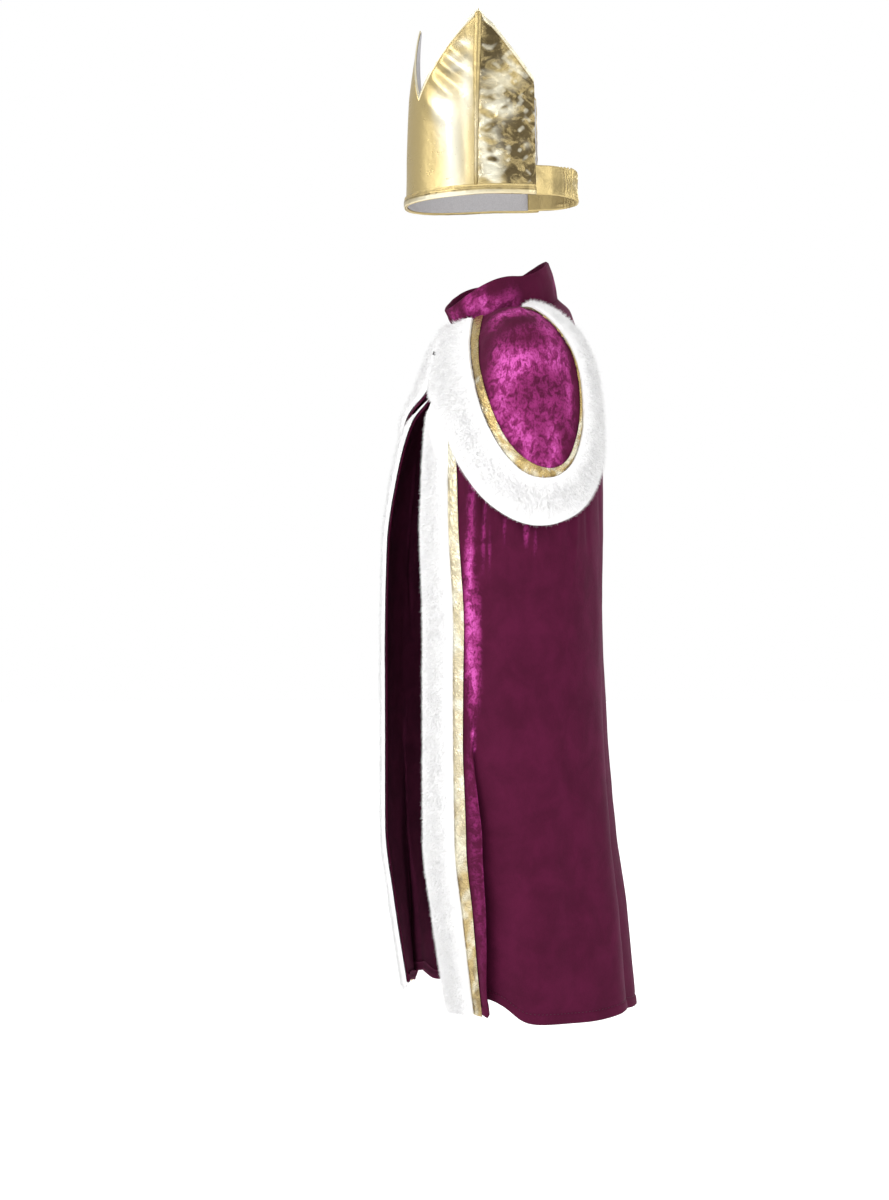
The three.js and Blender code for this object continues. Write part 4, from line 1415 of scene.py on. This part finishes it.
        # Near the neck the painted highlight and the painted shade are both fainter.
        top = 1 - smooth(along, 0.10, 0.24)
        gleam = tape.gleam(length, across, 3) * (0.85 - 0.75 * top)
        piece = MeshMaker.shell(self.side.named("lobe_tape"), outer, inner,
                                (across * TAPE_WIDTH, length),
                                {"gleam": gleam,
                                 "shade": tape.shade(length, across, 5) * (0.75 - 0.3 * top),
                                 "crinkle": np.full_like(gleam, 0.8)})
        finished(piece, wardrobe.tape, Slot.TAPE, self.side.named("lobe_braid"))
        self.side.named("lobe_panel")

    def _fur(self, robe: RobeSurface, wardrobe: Wardrobe, pile: PileMaker) -> None:
        """The fur along the lobe's edge."""
        fur = FurStrip(seed=self.side.pick(70, 80))
        along, across = grid(np.linspace(0, 1, 260), np.linspace(0, 0.98, 22))
        edge, tape = self.form.edge.at(along), self.form.tape.at(along)
        place = edge + (tape - edge) * across[..., None]
        turn, fall = place[..., 0], place[..., 1]
        # a little further out at the edge, where the pile rolls over the backing
        height = fur.height(across, along * self.fur_length)
        outer = self._mirror(self.form.point(robe, turn, fall, LIE_GAP + height))
        inner = self._mirror(self.form.point(robe, turn, fall, LIE_GAP * np.ones_like(turn)))
        piece = MeshMaker.shell(self.side.named("lobe_fur_edge"), outer, inner,
                                (across * self.fur_width, along * self.fur_length),
                                {"pile": fur.length_share(across)}, fur.rim_bulge)
        finished(piece, wardrobe.fur, Slot.FUR, self.side.named("lobe_fur"))
        self.side.named("lobe_panel")
        pile.grow(self.side.named("lobe_fur_pile"), piece, wardrobe.fur, 0.62, 5.2, fur.seed)


@dataclass
class GoldTape:
    """The gold tape: a flat metallic ribbon with small puckers between its two stitch lines."""

    thickness: float = 1.2
    pucker: float = 0.55
    slant: float = 6.0

    def lift(self, along: Array, across: Array, seed: int) -> Array:
        """The height of the tape's face, in millimetres."""
        dome = 1 - np.abs(2 * across - 1) ** 4
        fine = soft_noise(across * 9, along, 4, seed)
        wave = soft_noise(across * 6, along, 9, seed) + 0.6 * fine
        sewn = np.exp(-(((across - 0.1) / 0.06) ** 2)) + np.exp(-(((across - 0.9) / 0.06) ** 2))
        return self.thickness * (0.55 + 0.45 * dome) + self.pucker * wave * dome - 0.35 * sewn

    def gleam(self, along: Array, across: Array, seed: int) -> Array:
        """Where the tape catches the light, as a painted highlight, from 0 to 1."""
        slant = along + across * self.slant
        broad = soft_noise(across * 12, slant, 15, seed)
        fine = soft_noise(across * 12, slant, 6, seed + 400)
        return smooth(broad + 0.45 * fine, -0.15, 0.85)

    def shade(self, along: Array, across: Array, seed: int) -> Array:
        """Where the tape's puckers turn away, as painted shade, from 0 to 1."""
        slant = along - across * self.slant
        broad = soft_noise(across * 12, slant, 12, seed)
        fine = soft_noise(across * 12, slant, 5, seed + 400)
        # Painted shade also darkens both edges of the tape.
        edge = smooth(np.abs(2 * across - 1), 0.78, 1.0)
        return np.clip(smooth(broad + 0.5 * fine, -0.1, 0.8) + 0.5 * edge, 0, 1)


@dataclass
class FurStrip:
    """A strip of short plush: how high its backing and pile stand, edge to edge."""

    seed: int
    base_share: float = 0.60
    width: float = 46.0
    # the pile rolls over the free edge, and stops short at the tape
    rim_bulge: tuple[float, float] = (1.2, 0.1)

    def height(self, across: Array, along: Array) -> Array:
        """The height of the fur's dense part, in millimetres."""
        crown = np.sqrt(np.maximum(0.0, 1 - np.abs(2 * across - 1) ** 3))
        pile = FUR_EDGE_PILE + (FUR_PILE - FUR_EDGE_PILE) * crown
        lumps = 0.5 * soft_noise(across * self.width, along, 13, self.seed)
        lumps = lumps + 0.25 * soft_noise(across * self.width, along, 5, self.seed + 1)
        return np.maximum(0.8, pile * self.base_share + lumps * crown)

    def length_share(self, across: Array) -> Array:
        """How long the pile is at each place, from 0 to 1."""
        return 0.55 + 0.45 * (1 - np.abs(2 * across - 1) ** 2)


@dataclass
class FrontBand:
    """The fur and gold tape down one front edge."""

    side: Side
    top_at_edge: float = 138.0
    top_at_tape: float = 186.0
    tuck_share: float = 0.18
    tape_length: float = 600.0
    fur_length: float = 640.0
    fur_width: float = 46.0

    def _fall(self, across: Array, down: Array) -> Array:
        """The fall at a share down the band, whose top end slants under the lobe."""
        top = self.top_at_edge + (self.top_at_tape - self.top_at_edge) * across
        return top + (HEM_FALL - top) * down

    def build(self, robe: RobeSurface, wardrobe: Wardrobe, pile: PileMaker) -> None:
        """Makes the fur and the tape."""
        self._fur(robe, wardrobe, pile)
        self._tape(robe, wardrobe)

    def _fur(self, robe: RobeSurface, wardrobe: Wardrobe, pile: PileMaker) -> None:
        """The fur, down the open edge."""
        fur = FurStrip(seed=self.side.pick(90, 95))
        down, across = grid(np.linspace(0, 1, 230), np.linspace(0, 1, 22))
        fall = self._fall(across, down)
        turn = self.side.value * robe.fur_turn(fall, across)
        # thin under the lobe, whose edge crosses the fur on a slant
        exposed = smooth(fall - 152 - 82 * across, -4, 14)
        height = fur.height(across, down * self.fur_length)
        height = height * (self.tuck_share + (1 - self.tuck_share) * exposed)
        outer = robe.point(turn, fall, LIE_GAP + height)
        inner = robe.point(turn, fall, LIE_GAP)
        piece = MeshMaker.shell(self.side.named("front_fur_strip"), outer, inner,
                                (across * self.fur_width, down * self.fur_length),
                                {"pile": fur.length_share(across) * exposed}, fur.rim_bulge)
        finished(piece, wardrobe.fur, Slot.FUR, self.side.named("front_fur"))
        pile.grow(self.side.named("front_fur_pile"), piece, wardrobe.fur, 0.72, 4.6, fur.seed, 0.9)

    def _tape(self, robe: RobeSurface, wardrobe: Wardrobe) -> None:
        """The gold tape beside the fur."""
        tape = GoldTape()
        down, across = grid(np.linspace(0, 1, 330), np.linspace(0, 1, 11))
        fall = self._fall(1 + across * 0.25, down)
        turn = robe.turn_back(robe.fur_turn(fall, 1.0), fall, SEAM_GAP + TAPE_WIDTH * across)
        turn = turn * self.side.value
        length = down * self.tape_length
        seed = self.side.pick(55, 65)
        lift = tape.lift(length, across, seed)
        lift = 0.4 + (lift - 0.4) * smooth(fall, 226, 246)
        outer = robe.point(turn, fall, LIE_GAP + lift)
        inner = robe.point(turn, fall, LIE_GAP - 0.6)
        # The painted highlight is stronger above the fall of 560 mm, the painted shade below it.
        low = smooth(fall, 560, 660)
        gleam = (0.62 - 0.45 * low) + (0.5 + 0.2 * low) * tape.gleam(length, across, seed + 1)
        gleam = np.clip(gleam - 0.10, 0, 1)
        shade = tape.shade(length, across, seed + 2) * (0.30 + 0.70 * low)
        piece = MeshMaker.shell(self.side.named("front_tape"), outer, inner,
                                (across * TAPE_WIDTH, length),
                                {"gleam": gleam, "shade": shade,
                                 "crinkle": np.full_like(gleam, 0.8)})
        finished(piece, wardrobe.tape, Slot.TAPE, self.side.named("front_braid"))


# The crown


@dataclass
class CrownSurface:
    """The crown's outer face as a function of round and height."""

    centre: tuple[float, float, float] = (0.0, -15.0, 0.0)
    yaw: float = -18.0
    half_length: float = 92.5
    half_width: float = 75.0
    roundness: float = 2.4
    base_z: float = 117.0
    front_drop: float = 5.7
    back_drop: float = 1.0
    valley_height: float = 113.0
    front_peak: float = 192.0
    side_peak: float = 198.0
    back_corner_height: float = 123.5
    lean: float = 0.035
    peak_lean: float = 0.115
    valley: float = 35.0
    side: float = 84.0
    back_corner: float = 117.6
    front_bow: float = 5.0
    back_bow: float = -2.0

    def _place(self, degrees: Array, height: Array) -> Array:
        """A point of the outer face in the crown's own frame."""
        angle = np.radians(degrees)
        power = 2 / self.roundness
        rise = self.side_peak - self.valley_height
        above = np.maximum(0.0, (height - self.valley_height) / rise)
        scale = 1 - self.lean * height / self.valley_height - self.peak_lean * above**1.3
        across, along = np.sin(angle), np.cos(angle)
        drop = np.where(along > 0, self.front_drop, -self.back_drop)
        return np.stack([
            np.sign(across) * self.half_width * scale * np.abs(across) ** power,
            -np.sign(along) * self.half_length * scale * np.abs(along) ** power,
            self.base_z - drop * along + height,
        ], -1)

    def outward(self, degrees: Array, height: Array) -> Array:
        """The level outward direction in the crown's own frame."""
        around = self._place(degrees + 0.5, height) - self._place(degrees - 0.5, height)
        direction = np.stack([around[..., 1], -around[..., 0], np.zeros_like(degrees)], -1)
        return direction / np.linalg.norm(direction, axis=-1, keepdims=True)

    def _turned(self, points: Array) -> Array:
        """Directions or points turned with the crown on the head."""
        yaw = math.radians(self.yaw)
        x, y = points[..., 0], points[..., 1]
        return np.stack([x * math.cos(yaw) - y * math.sin(yaw),
                         x * math.sin(yaw) + y * math.cos(yaw), points[..., 2]], -1)

    def point(self, degrees: Array, height: Array, out: Array | float = 0.0) -> Array:
        """The outer face moved out, in the costume's frame, in millimetres."""
        degrees, height = np.broadcast_arrays(*(np.asarray(v, float) for v in (degrees, height)))
        out = np.broadcast_to(out, degrees.shape)[..., None]
        local = self._place(degrees, height) + out * self.outward(degrees, height)
        return self._turned(local) + np.array(self.centre)

    def direction(self, degrees: Array, height: Array) -> Array:
        """The outward direction in the costume's frame."""
        return self._turned(self.outward(degrees, height))

    def top(self, degrees: Array) -> Array:
        """The height of the cut top edge, between the peaks and the valleys."""
        at = np.abs(degrees)
        keys = [(0.0, self.front_peak, 0.0), (self.valley, self.valley_height, self.front_bow),
                (self.side, self.side_peak, self.back_bow),
                (self.back_corner, self.back_corner_height, 0.0)]
        height = np.zeros_like(at)
        for (low, low_height, bow), (high, high_height, _) in zip(keys, keys[1:]):
            share = np.clip((at - low) / (high - low), 0.0, 1.0)
            value = low_height + (high_height - low_height) * share + bow * np.sin(np.pi * share)
            reached = (at <= high) | (high == self.back_corner)
            height = np.where((at >= low) & reached, value, height)
        return height


# Millimetres round the crown in one degree
PER_ROUND = 1.48


@dataclass
class Crown:
    """The soft crown: a front panel, two side panels, a hem and an elastic back band."""

    wardrobe: Wardrobe
    stitches: StitchMaker
    surface: CrownSurface = field(default_factory=CrownSurface)
    cloth: float = 1.6
    lining: float = 1.0
    hem_height: float = 10.0
    hem_sewn: float = 0.78
    band_height: float = 31.0
    band_start: float = 111.0
    band_leave: float = 121.0
    band_full: float = 133.0
    band_gathers: tuple[float, float] = (138, 156)
    band_sewn: tuple[float, float] = (0.16, 0.84)
    ruffle_pitch: float = 0.95
    creases: Rows = (
        (57, 168, 81, 139, 3.2, 1.6), (60, 178, 82, 152, 3, -1.6), (50, 152, 80, 118, 3.6, 1.8),
        (54, 160, 81, 128, 3, -1.7), (44, 136, 76, 96, 4, 1.7), (47, 146, 79, 106, 3.2, -1.6),
        (40, 112, 66, 76, 6, 1.2), (70, 20, 64, 110, 7, 1.4), (78, 14, 75, 90, 4, -1),
        (50, 10, 50, 100, 12, -0.8), (-58, 170, -80, 140, 3.2, 1.5),
        (-52, 156, -81, 122, 3.4, -1.6), (-45, 138, -77, 100, 4, 1.6), (-70, 20, -64, 110, 7, 1.3),
        (-48, 12, -52, 100, 11, -0.8), (10, 30, 14, 120, 12, 0.8), (-14, 20, -12, 130, 12, -0.8))
    # Patches of painted highlight: round, height, half breadth, half height and strength.
    highlight_patches: Rows = (
        (70, 40, 7, 62, 1), (63, 82, 7, 26, 1), (55, 98, 4.5, 14, 0.8), (78, 112, 4, 34, 0.9),
        (72, 138, 6, 5, 0.9), (67, 148, 5, 3.5, 0.8), (74, 162, 5, 4, 0.6), (91, 24, 5, 34, 1),
        (89, 70, 3, 24, 0.9), (94, 92, 6.5, 12, 0.8), (100, 88, 5, 6, 0.5), (97, 122, 9, 12, 0.7),
        (104, 136, 6, 8, 0.55), (110, 52, 4, 4, 0.4), (-70, 45, 7, 60, 0.9), (-60, 96, 7, 20, 0.8),
        (-94, 60, 6, 40, 0.7), (-102, 110, 8, 14, 0.6), (-4, 60, 7, 70, 0.5))
    # Patches of painted shade, where the crinkles turn away: round, height, half breadth, half
    # height and strength.
    shade_patches: Rows = (
        (76, 146, 5, 5, 0.75), (68, 133, 8, 5.5, 0.75), (73, 172, 8, 10, 0.6),
        (92, 168, 9, 18, 0.7), (88, 140, 4, 12, 0.5), (108, 24, 9, 20, 1), (100, 46, 7, 16, 1),
        (110, 70, 9, 24, 1), (99, 70, 7, 9, 0.9), (105, 102, 8, 10, 0.9), (114, 106, 5, 20, 0.9),
        (-74, 150, 7, 12, 0.7), (-100, 40, 9, 22, 0.8), (-108, 80, 8, 24, 0.8),
        (-92, 165, 8, 18, 0.7))
    # Patches of painted highlight on the hem, with the same columns.
    hem_highlight_patches: Rows = ((62, 0, 26, 40, 1), (-60, 0, 26, 40, 1))
    # how much nearer the cut top edge is square to it than straight up, and its stitches' inset
    edge_slant: float = 0.6
    edge_inset: float = 3.4

    def _crumple(self, degrees: Array, height: Array) -> Array:
        """How far creases and crinkles move the cloth, in millimetres."""
        across = degrees * PER_ROUND
        behind = self._behind(degrees)
        lift = creased(self.creases, degrees, height, PER_ROUND)
        slant, rise = across * 0.8 + height * 0.6, height * 0.8 - across * 0.6
        broad = 0.5 - np.abs(soft_noise(slant * 0.6, rise, 13, 101))
        fine = 0.5 - np.abs(soft_noise(slant, rise * 0.7, 6, 102))
        lift = lift + behind * (2.0 * broad + 0.6 * fine)
        lift = lift + 0.5 * soft_noise(across, height * 0.4, 26, 103)
        below = self._below_edge(degrees, height)
        return lift * smooth(height, 3, 14) * (0.2 + 0.8 * smooth(below, 1, 9))

    def _below_edge(self, degrees: Array, height: Array) -> Array:
        """How far a place lies below the cut top edge, square to it, in millimetres."""
        return (self.surface.top(degrees) - height) * self.edge_slant

    def _behind(self, degrees: Array) -> Array:
        """1 on the crinkled side panels, 0 on the smooth front."""
        return smooth(np.abs(degrees), self.surface.side - 1, self.surface.side + 3)

    def _edge_roll(self, degrees: Array, height: Array) -> Array:
        """The stitched edge along the top: a thin roll and the groove of its stitches."""
        below = self._below_edge(degrees, height)
        roll = 0.55 * (1 - smooth(below, 2.0, 3.2))
        return roll - 0.55 * np.exp(-(((below - self.edge_inset) / 0.8) ** 2))

    def _fields(self, degrees: Array, height: Array) -> dict[str, Array]:
        """The cloth's painted highlight (gleam), painted shade and crinkle at each place."""
        behind = self._behind(degrees)
        across = degrees * PER_ROUND
        broken = smooth(soft_noise(across + height, height - across, 9, 111) + 0.4, -0.2, 0.6)
        gleam = patched(self.highlight_patches, degrees, height)
        below = self._below_edge(degrees, height)
        # A painted highlight along the rolled top edge.
        edge = 0.8 * (1 - smooth(below, 2.2, 3.4))
        gleam = np.maximum(gleam * (1 - behind * (1 - broken)), edge)
        # Painted glints flecked over the side panels.
        fleck = soft_noise(across - height, height + across, 7, 112)
        sparkle = 0.45 * behind * smooth(fleck, 0.3, 0.8)
        # Painted shade over the side panels, deepest in the listed patches.
        general = behind * (0.52 + 0.40 * soft_noise(across, height, 14, 113))
        shade = np.clip(patched(self.shade_patches, degrees, height) + general, 0, 1)
        return {"gleam": np.clip(gleam + sparkle, 0, 1), "shade": shade * (1 - edge),
                "crinkle": 0.12 + 0.88 * behind}

    def _wall(self, name: str, degrees: Array, shares: Array, outer: float, inner: float,
              bottom: float = 0.0, below: float = 0.0) -> Piece:
        """A panel of the crown's wall.

        Args:
            name: The piece's name.
            degrees: The panel's columns.
            shares: The panel's rows, as shares of the way up.
            outer: How far out the outer face is.
            inner: How far out the inner face is.
            bottom: The height of the panel's lower edge.
            below: How far the panel stops below the top edge.

        Returns:
            The new object.
        """
        share, around = grid(shares, degrees)
        height = bottom + (self.surface.top(around) - below - bottom) * share
        lift = self._crumple(around, height) + self._edge_roll(around, height)
        return MeshMaker.shell(
            name, self.surface.point(around, height, outer + lift),
            self.surface.point(around, height, inner + lift),
            (around * PER_ROUND, height), self._fields(around, height))

    def _lame(self, name: str, node: str, outer: Array, inner: Array,
              uv: tuple[Array, Array], **fields: Array | float) -> Piece:
        """A finished piece of the crown's gold cloth.

        Args:
            name: The piece's name.
            node: The frame's node that it stands for.
            outer: Its outer face.
            inner: Its inner face.
            uv: Its cloth coordinates.
            **fields: Its painted highlight (gleam), painted shade and crinkle, for each place or
                      all over.

        Returns:
            The piece.
        """
        fields = {key: np.broadcast_to(value, uv[0].shape) for key, value in fields.items()}
        piece = MeshMaker.shell(name, outer, inner, uv, fields)
        return finished(piece, self.wardrobe.lame, Slot.LAME, node)

    def _stitch(self, name: str, degrees: Array, height: Array, out: Array | float,
                pitch: float, length: float, width: float) -> None:
        """A row of gold stitches along a line on the crown, in millimetres."""
        s = self.surface
        self.stitches.row(name, s.point(degrees, height, out), s.direction(degrees, height),
                          pitch, self.wardrobe.gold_thread, Slot.LAME, length, width)

    def build(self) -> None:
        """Makes every piece of the crown."""
        s = self.surface
        lame = self.wardrobe.lame
        shares = np.concatenate([np.linspace(0, 0.9, 96), np.linspace(0.903, 1, 30)])
        both = both_ways(stepped((0, 0), (s.valley, 25), (s.side - 0.2, 39)))
        front = self._wall("crown_front_panel", both, shares, 0.0, -self.cloth)
        finished(front, lame, Slot.LAME, "crown_front")
        for side in Side:
            back = side.value * np.linspace(s.side + 0.2, s.back_corner, 60)
            panel = self._wall(side.named("crown_side_panel"), back, shares, 0.0, -self.cloth)
            finished(panel, lame, Slot.LAME, side.named("crown_side"))
            self._seam(side)
        whole, few = (
            both_ways(stepped((0, 0), (s.valley, a), (s.side - 0.2, b), (s.back_corner, c)))
            for a, b, c in ((25, 39, 23), (17, 26, 15)))
        depth = self.cloth + SEAM_GAP
        lining = self._wall("crown_backing", few, np.linspace(0, 1, 70), -depth,
                            -depth - self.lining, 2, 1.5)
        finished(lining, self.wardrobe.backing, Slot.BACKING, "crown_lining")
        self._hem(whole)
        self._band()
        self._edge_stitches()

    def _seam(self, side: Side) -> None:
        """The raised seam from the hem to a side peak, broader towards the top."""
        s = self.surface
        share, across = grid(np.linspace(0, 1, 110), np.linspace(-1, 1, 13))
        foot, tip = self.hem_height + 1, s.side_peak - 4
        height = foot + (tip - foot) * share
        half_round = 0.75 + 1.15 * smooth(share, 0.15, 0.9)
        around = s.side + across * half_round
        below_edge = np.minimum(height, s.top(around) - 2.2)
        ridge = 0.55 + 1.15 * np.maximum(0.0, 1 - np.abs(across) ** 2.2)
        groove = -0.45 * np.exp(-(((np.abs(across) - 0.72) / 0.12) ** 2))
        rucks = 0.25 * soft_noise(across * 3, height, 6, 121)
        lift = self._crumple(np.full_like(height, s.side), height)
        degrees = around * side.value
        piece = self._lame(
            side.named("crown_seam_fold"), side.named("crown_seam"),
            s.point(degrees, below_edge, lift + LIE_GAP + ridge + groove + rucks),
            s.point(degrees, below_edge, lift + 0.2), (across * 3, height),
            # A painted highlight low on the seam, and painted shade all along it.
            gleam=0.35 * smooth(share, 0.0, 0.12) * (1 - smooth(share, 0.3, 0.6)),
            shade=0.30, crinkle=0.3)

    def _hem(self, whole: Array) -> None:
        """The folded hem round the foot of the panels, with its row of stitches."""
        s = self.surface
        up, around = grid(np.linspace(0, 1, 16), whole)
        along = around * PER_ROUND
        height = self.hem_height * up
        roll = 0.7 * np.maximum(0.0, 1 - np.abs(2 * up - 0.75) ** 2.5)
        groove = -0.6 * np.exp(-(((up - self.hem_sewn) / 0.07) ** 2))
        rucks = 0.3 * soft_noise(along, height, 5, 131)
        low = 1 - smooth(up, 0.30, 0.45)
        fleck = smooth(soft_noise(along, height * 2, 5, 132), 0.2, 0.7)
        piece = self._lame(
            "crown_hem_band", "crown_hem",
            s.point(around, height, SEAM_GAP + 1.0 + roll + groove + rucks),
            s.point(around, height, SEAM_GAP), (along, height),
            # Painted highlight on the lower half, brightest in the listed patches; painted shade
            # in a line across the middle and in flecks.
            gleam=low * (0.35 + 0.65 * patched(self.hem_highlight_patches, around, height)),
            shade=0.55 * np.exp(-(((up - 0.50) / 0.10) ** 2)) + 0.3 * fleck, crinkle=0.4)
        line = np.linspace(whole[0], whole[-1], 500)
        rise = np.full_like(line, self.hem_height * self.hem_sewn)
        self._stitch("crown_hem_stitches", line, rise, SEAM_GAP + 1.15, 3.4, 2.3, 0.5)

    def _ruffle(self, around: Array, height: Array, up: Array | float) -> Array:
        """How far the band's gathers move it out, at a height that is a share of the band."""
        along = around * PER_ROUND
        gathered = smooth(np.minimum(around, 360 - around), *self.band_gathers)
        folds = np.sin(along * self.ruffle_pitch + 1.6 * soft_noise(along, height, 12, 141))
        return gathered * folds * (0.9 + 0.3 * np.cos(up * np.pi * 2))

    def _band(self) -> None:
        """The band round the back of the head, gathered by its elastic in the middle."""
        s = self.surface
        behind = self.cloth + SEAM_GAP + self.lining + SEAM_GAP
        columns = np.linspace(self.band_start, 360 - self.band_start, 230)
        up, around = grid(np.linspace(0, 1, 26), columns)
        along = around * PER_ROUND
        from_end = np.minimum(around, 360 - around)
        tuck = behind * (1 - smooth(from_end, self.band_leave, self.band_full))
        height = 1 + (self.band_height - 1) * up
        gathered = smooth(from_end, *self.band_gathers)
        free = smooth(from_end, self.band_full, 140)
        lift = self._ruffle(around, height, up) + free * 0.6 * soft_noise(along, height, 13, 142)
        low, high = (np.exp(-(((up - sewn) / 0.04) ** 2)) for sewn in self.band_sewn)
        lift = lift + -0.5 * (low + high) * free - tuck
        frill = 1 + 0.05 * gathered * np.sin(along * self.ruffle_pitch + 1.0)
        piece = self._lame(
            "crown_elastic_band", "crown_back_band", s.point(around, height * frill, lift),
            s.point(around, height * frill, lift - self.cloth), (along, height),
            # Faint painted highlight and painted shade, broken at random.
            gleam=0.25 * smooth(soft_noise(along, height, 16, 143), 0.1, 0.8),
            shade=0.25 * smooth(soft_noise(along, height, 12, 144), 0.0, 0.8),
            crinkle=0.25 + 0.5 * gathered)
        line = np.linspace(self.band_full + 3, 357 - self.band_full, 400)
        for word, share in zip(("low", "high"), self.band_sewn):
            rise = np.full_like(line, 1 + (self.band_height - 1) * share)
            self._stitch(f"crown_band_stitches_{word}", line, rise,
                         self._ruffle(line, rise, share) - 0.3, 3.6, 2.2, 0.45)

    def _edge_stitches(self) -> None:
        """The stitches just inside the cut top edge of every panel."""
        s = self.surface
        stretches = ((0.6, s.valley - 0.8, "inner"), (s.valley + 0.8, s.side - 2.5, "outer"),
                     (s.side + 2.8, s.back_corner - 0.6, "back"))
        for side in Side:
            for start, end, word in stretches:
                degrees = np.linspace(start, end, 160)
                height = s.top(degrees) - self.edge_inset / self.edge_slant
                degrees = degrees * side.value
                lift = self._crumple(degrees, height) + self._edge_roll(degrees, height) + 0.15
                self._stitch(side.named(f"crown_edge_stitches_{word}"), degrees, height, lift,
                             3.2, 2.1, 0.42)


# The studio


@dataclass
class Studio:
    """A pale floor, soft lights and the camera."""

    floor_z: float = -0.93
    floor_radius: float = 14.0
    camera_distance: float = 3.0
    azimuth: float = 75.0
    camera_left: float = 0.0653
    camera_z: float = -0.311
    lens: float = 83.34
    # name, place, target, size and power
    lights: tuple = (
        ("key_softbox", (1.2, -3.0, 1.9), (0, 0, -0.1), 1.8, 62.0),
        ("side_softbox", (3.4, 1.6, 1.3), (0, 0, -0.1), 1.4, 26.0),
        ("rim_softbox", (-2.0, 2.6, 1.6), (0, 0, 0.0), 1.6, 34.0),
        ("fill_softbox", (2.4, -1.2, -0.3), (0, 0, -0.3), 2.0, 8.0))

    def build(self) -> None:
        """Makes the camera, the floor, the world and the lights."""
        self._camera()
        self._floor()
        self._world()
        for light in self.lights:
            self._light(*light)

    def _camera(self) -> None:
        """The camera, level, at the wearer's left and a little in front."""
        angle = math.radians(self.azimuth)
        back = Vector((math.sin(angle), -math.cos(angle), 0))
        right = Vector((math.cos(angle), math.sin(angle), 0))
        data = bpy.data.cameras.new("view")
        data.lens = self.lens
        data.sensor_width = 36.0
        data.clip_end = 100.0
        camera = bpy.data.objects.new("view", data)
        turn = Matrix((right, Vector((0, 0, 1)), back)).transposed()
        camera.matrix_world = turn.to_4x4()
        camera.location = back * self.camera_distance - right * self.camera_left
        camera.location.z = self.camera_z
        bpy.context.scene.collection.objects.link(camera)
        bpy.context.scene.camera = camera

    def _floor(self) -> None:
        """The pale floor, a wide flat disc."""
        count = 96
        turns = np.linspace(0, 2 * math.pi, count, endpoint=False)
        rim = [(self.floor_radius * math.cos(t), self.floor_radius * math.sin(t), self.floor_z)
               for t in turns]
        mesh = bpy.data.meshes.new("floor")
        mesh.from_pydata(rim, [], [list(range(count))])
        floor = placed("floor", mesh)
        material = bpy.data.materials.new("pale_floor")
        material.use_nodes = True
        NodeDesk(material.node_tree).fill(
            material.node_tree.nodes["Principled BSDF"], Base_Color=(0.88, 0.88, 0.88, 1),
            Roughness=0.95, Specular_IOR_Level=0.1, Emission_Color=(1, 1, 1, 1),
            Emission_Strength=0.42)
        mesh.materials.append(material)

    def _world(self) -> None:
        """A white room: plain white behind, and brighter above than below for reflections."""
        world = bpy.data.worlds.new("studio")
        world.use_nodes = True
        bpy.context.scene.world = world
        tree = world.node_tree
        tree.nodes.clear()
        desk = NodeDesk(tree)
        place = desk.add("ShaderNodeTexCoord")
        parts = desk.add("ShaderNodeSeparateXYZ", Vector=place.outputs["Generated"])
        rise = desk.add("ShaderNodeMapRange", Value=parts.outputs["Z"], From_Min=-0.5,
                        From_Max=0.7, To_Min=0.34, To_Max=0.92)
        room = desk.add("ShaderNodeBackground", Color=(1, 1, 1, 1),
                        Strength=rise.outputs["Result"])
        behind = desk.add("ShaderNodeBackground", Color=(1, 1, 1, 1), Strength=1.0)
        seen = desk.add("ShaderNodeLightPath").outputs["Is Camera Ray"]
        chosen = desk.add("ShaderNodeMixShader")
        for place, socket in enumerate((seen, room.outputs[0], behind.outputs[0])):
            desk.feed(chosen, place, socket)
        desk.add("ShaderNodeOutputWorld", Surface=chosen.outputs[0])
        bpy.context.scene.view_settings.view_transform = "Standard"

    @staticmethod
    def _light(name: str, place: tuple[float, float, float],
               target: tuple[float, float, float], size: float, power: float) -> None:
        """A square soft light.

        Args:
            name: The light's name.
            place: Where it stands, in metres.
            target: What it faces.
            size: Its side, in metres.
            power: Its power, in watts.
        """
        data = bpy.data.lights.new(name, "AREA")
        data.size = size
        data.energy = power
        light = bpy.data.objects.new(name, data)
        light.location = place
        facing = Vector(target) - Vector(place)
        light.rotation_mode = "QUATERNION"
        light.rotation_quaternion = facing.to_track_quat("-Z", "Y")
        bpy.context.scene.collection.objects.link(light)


def main() -> None:
    """Builds the costume, piece by piece, over the frame."""
    logging.basicConfig(level=logging.INFO, format="%(name)s: %(message)s")
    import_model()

    studio = Studio()
    studio.build()
    wardrobe = Wardrobe()
    stitches = StitchMaker()
    pile = PileMaker()
    robe = RobeSurface()

    RobeBody().build(robe, wardrobe, stitches)
    StandCollar().build(wardrobe)
    for side in Side:
        ShoulderLobe(side).build(robe, wardrobe, pile)
        FrontBand(side).build(robe, wardrobe, pile)
    Crown(wardrobe, stitches).build()

    hook = bpy.data.objects["neck_hook"]
    hook.data.materials.clear()
    hook.data.materials.append(wardrobe.wire)


if __name__ == "__main__":
    main()
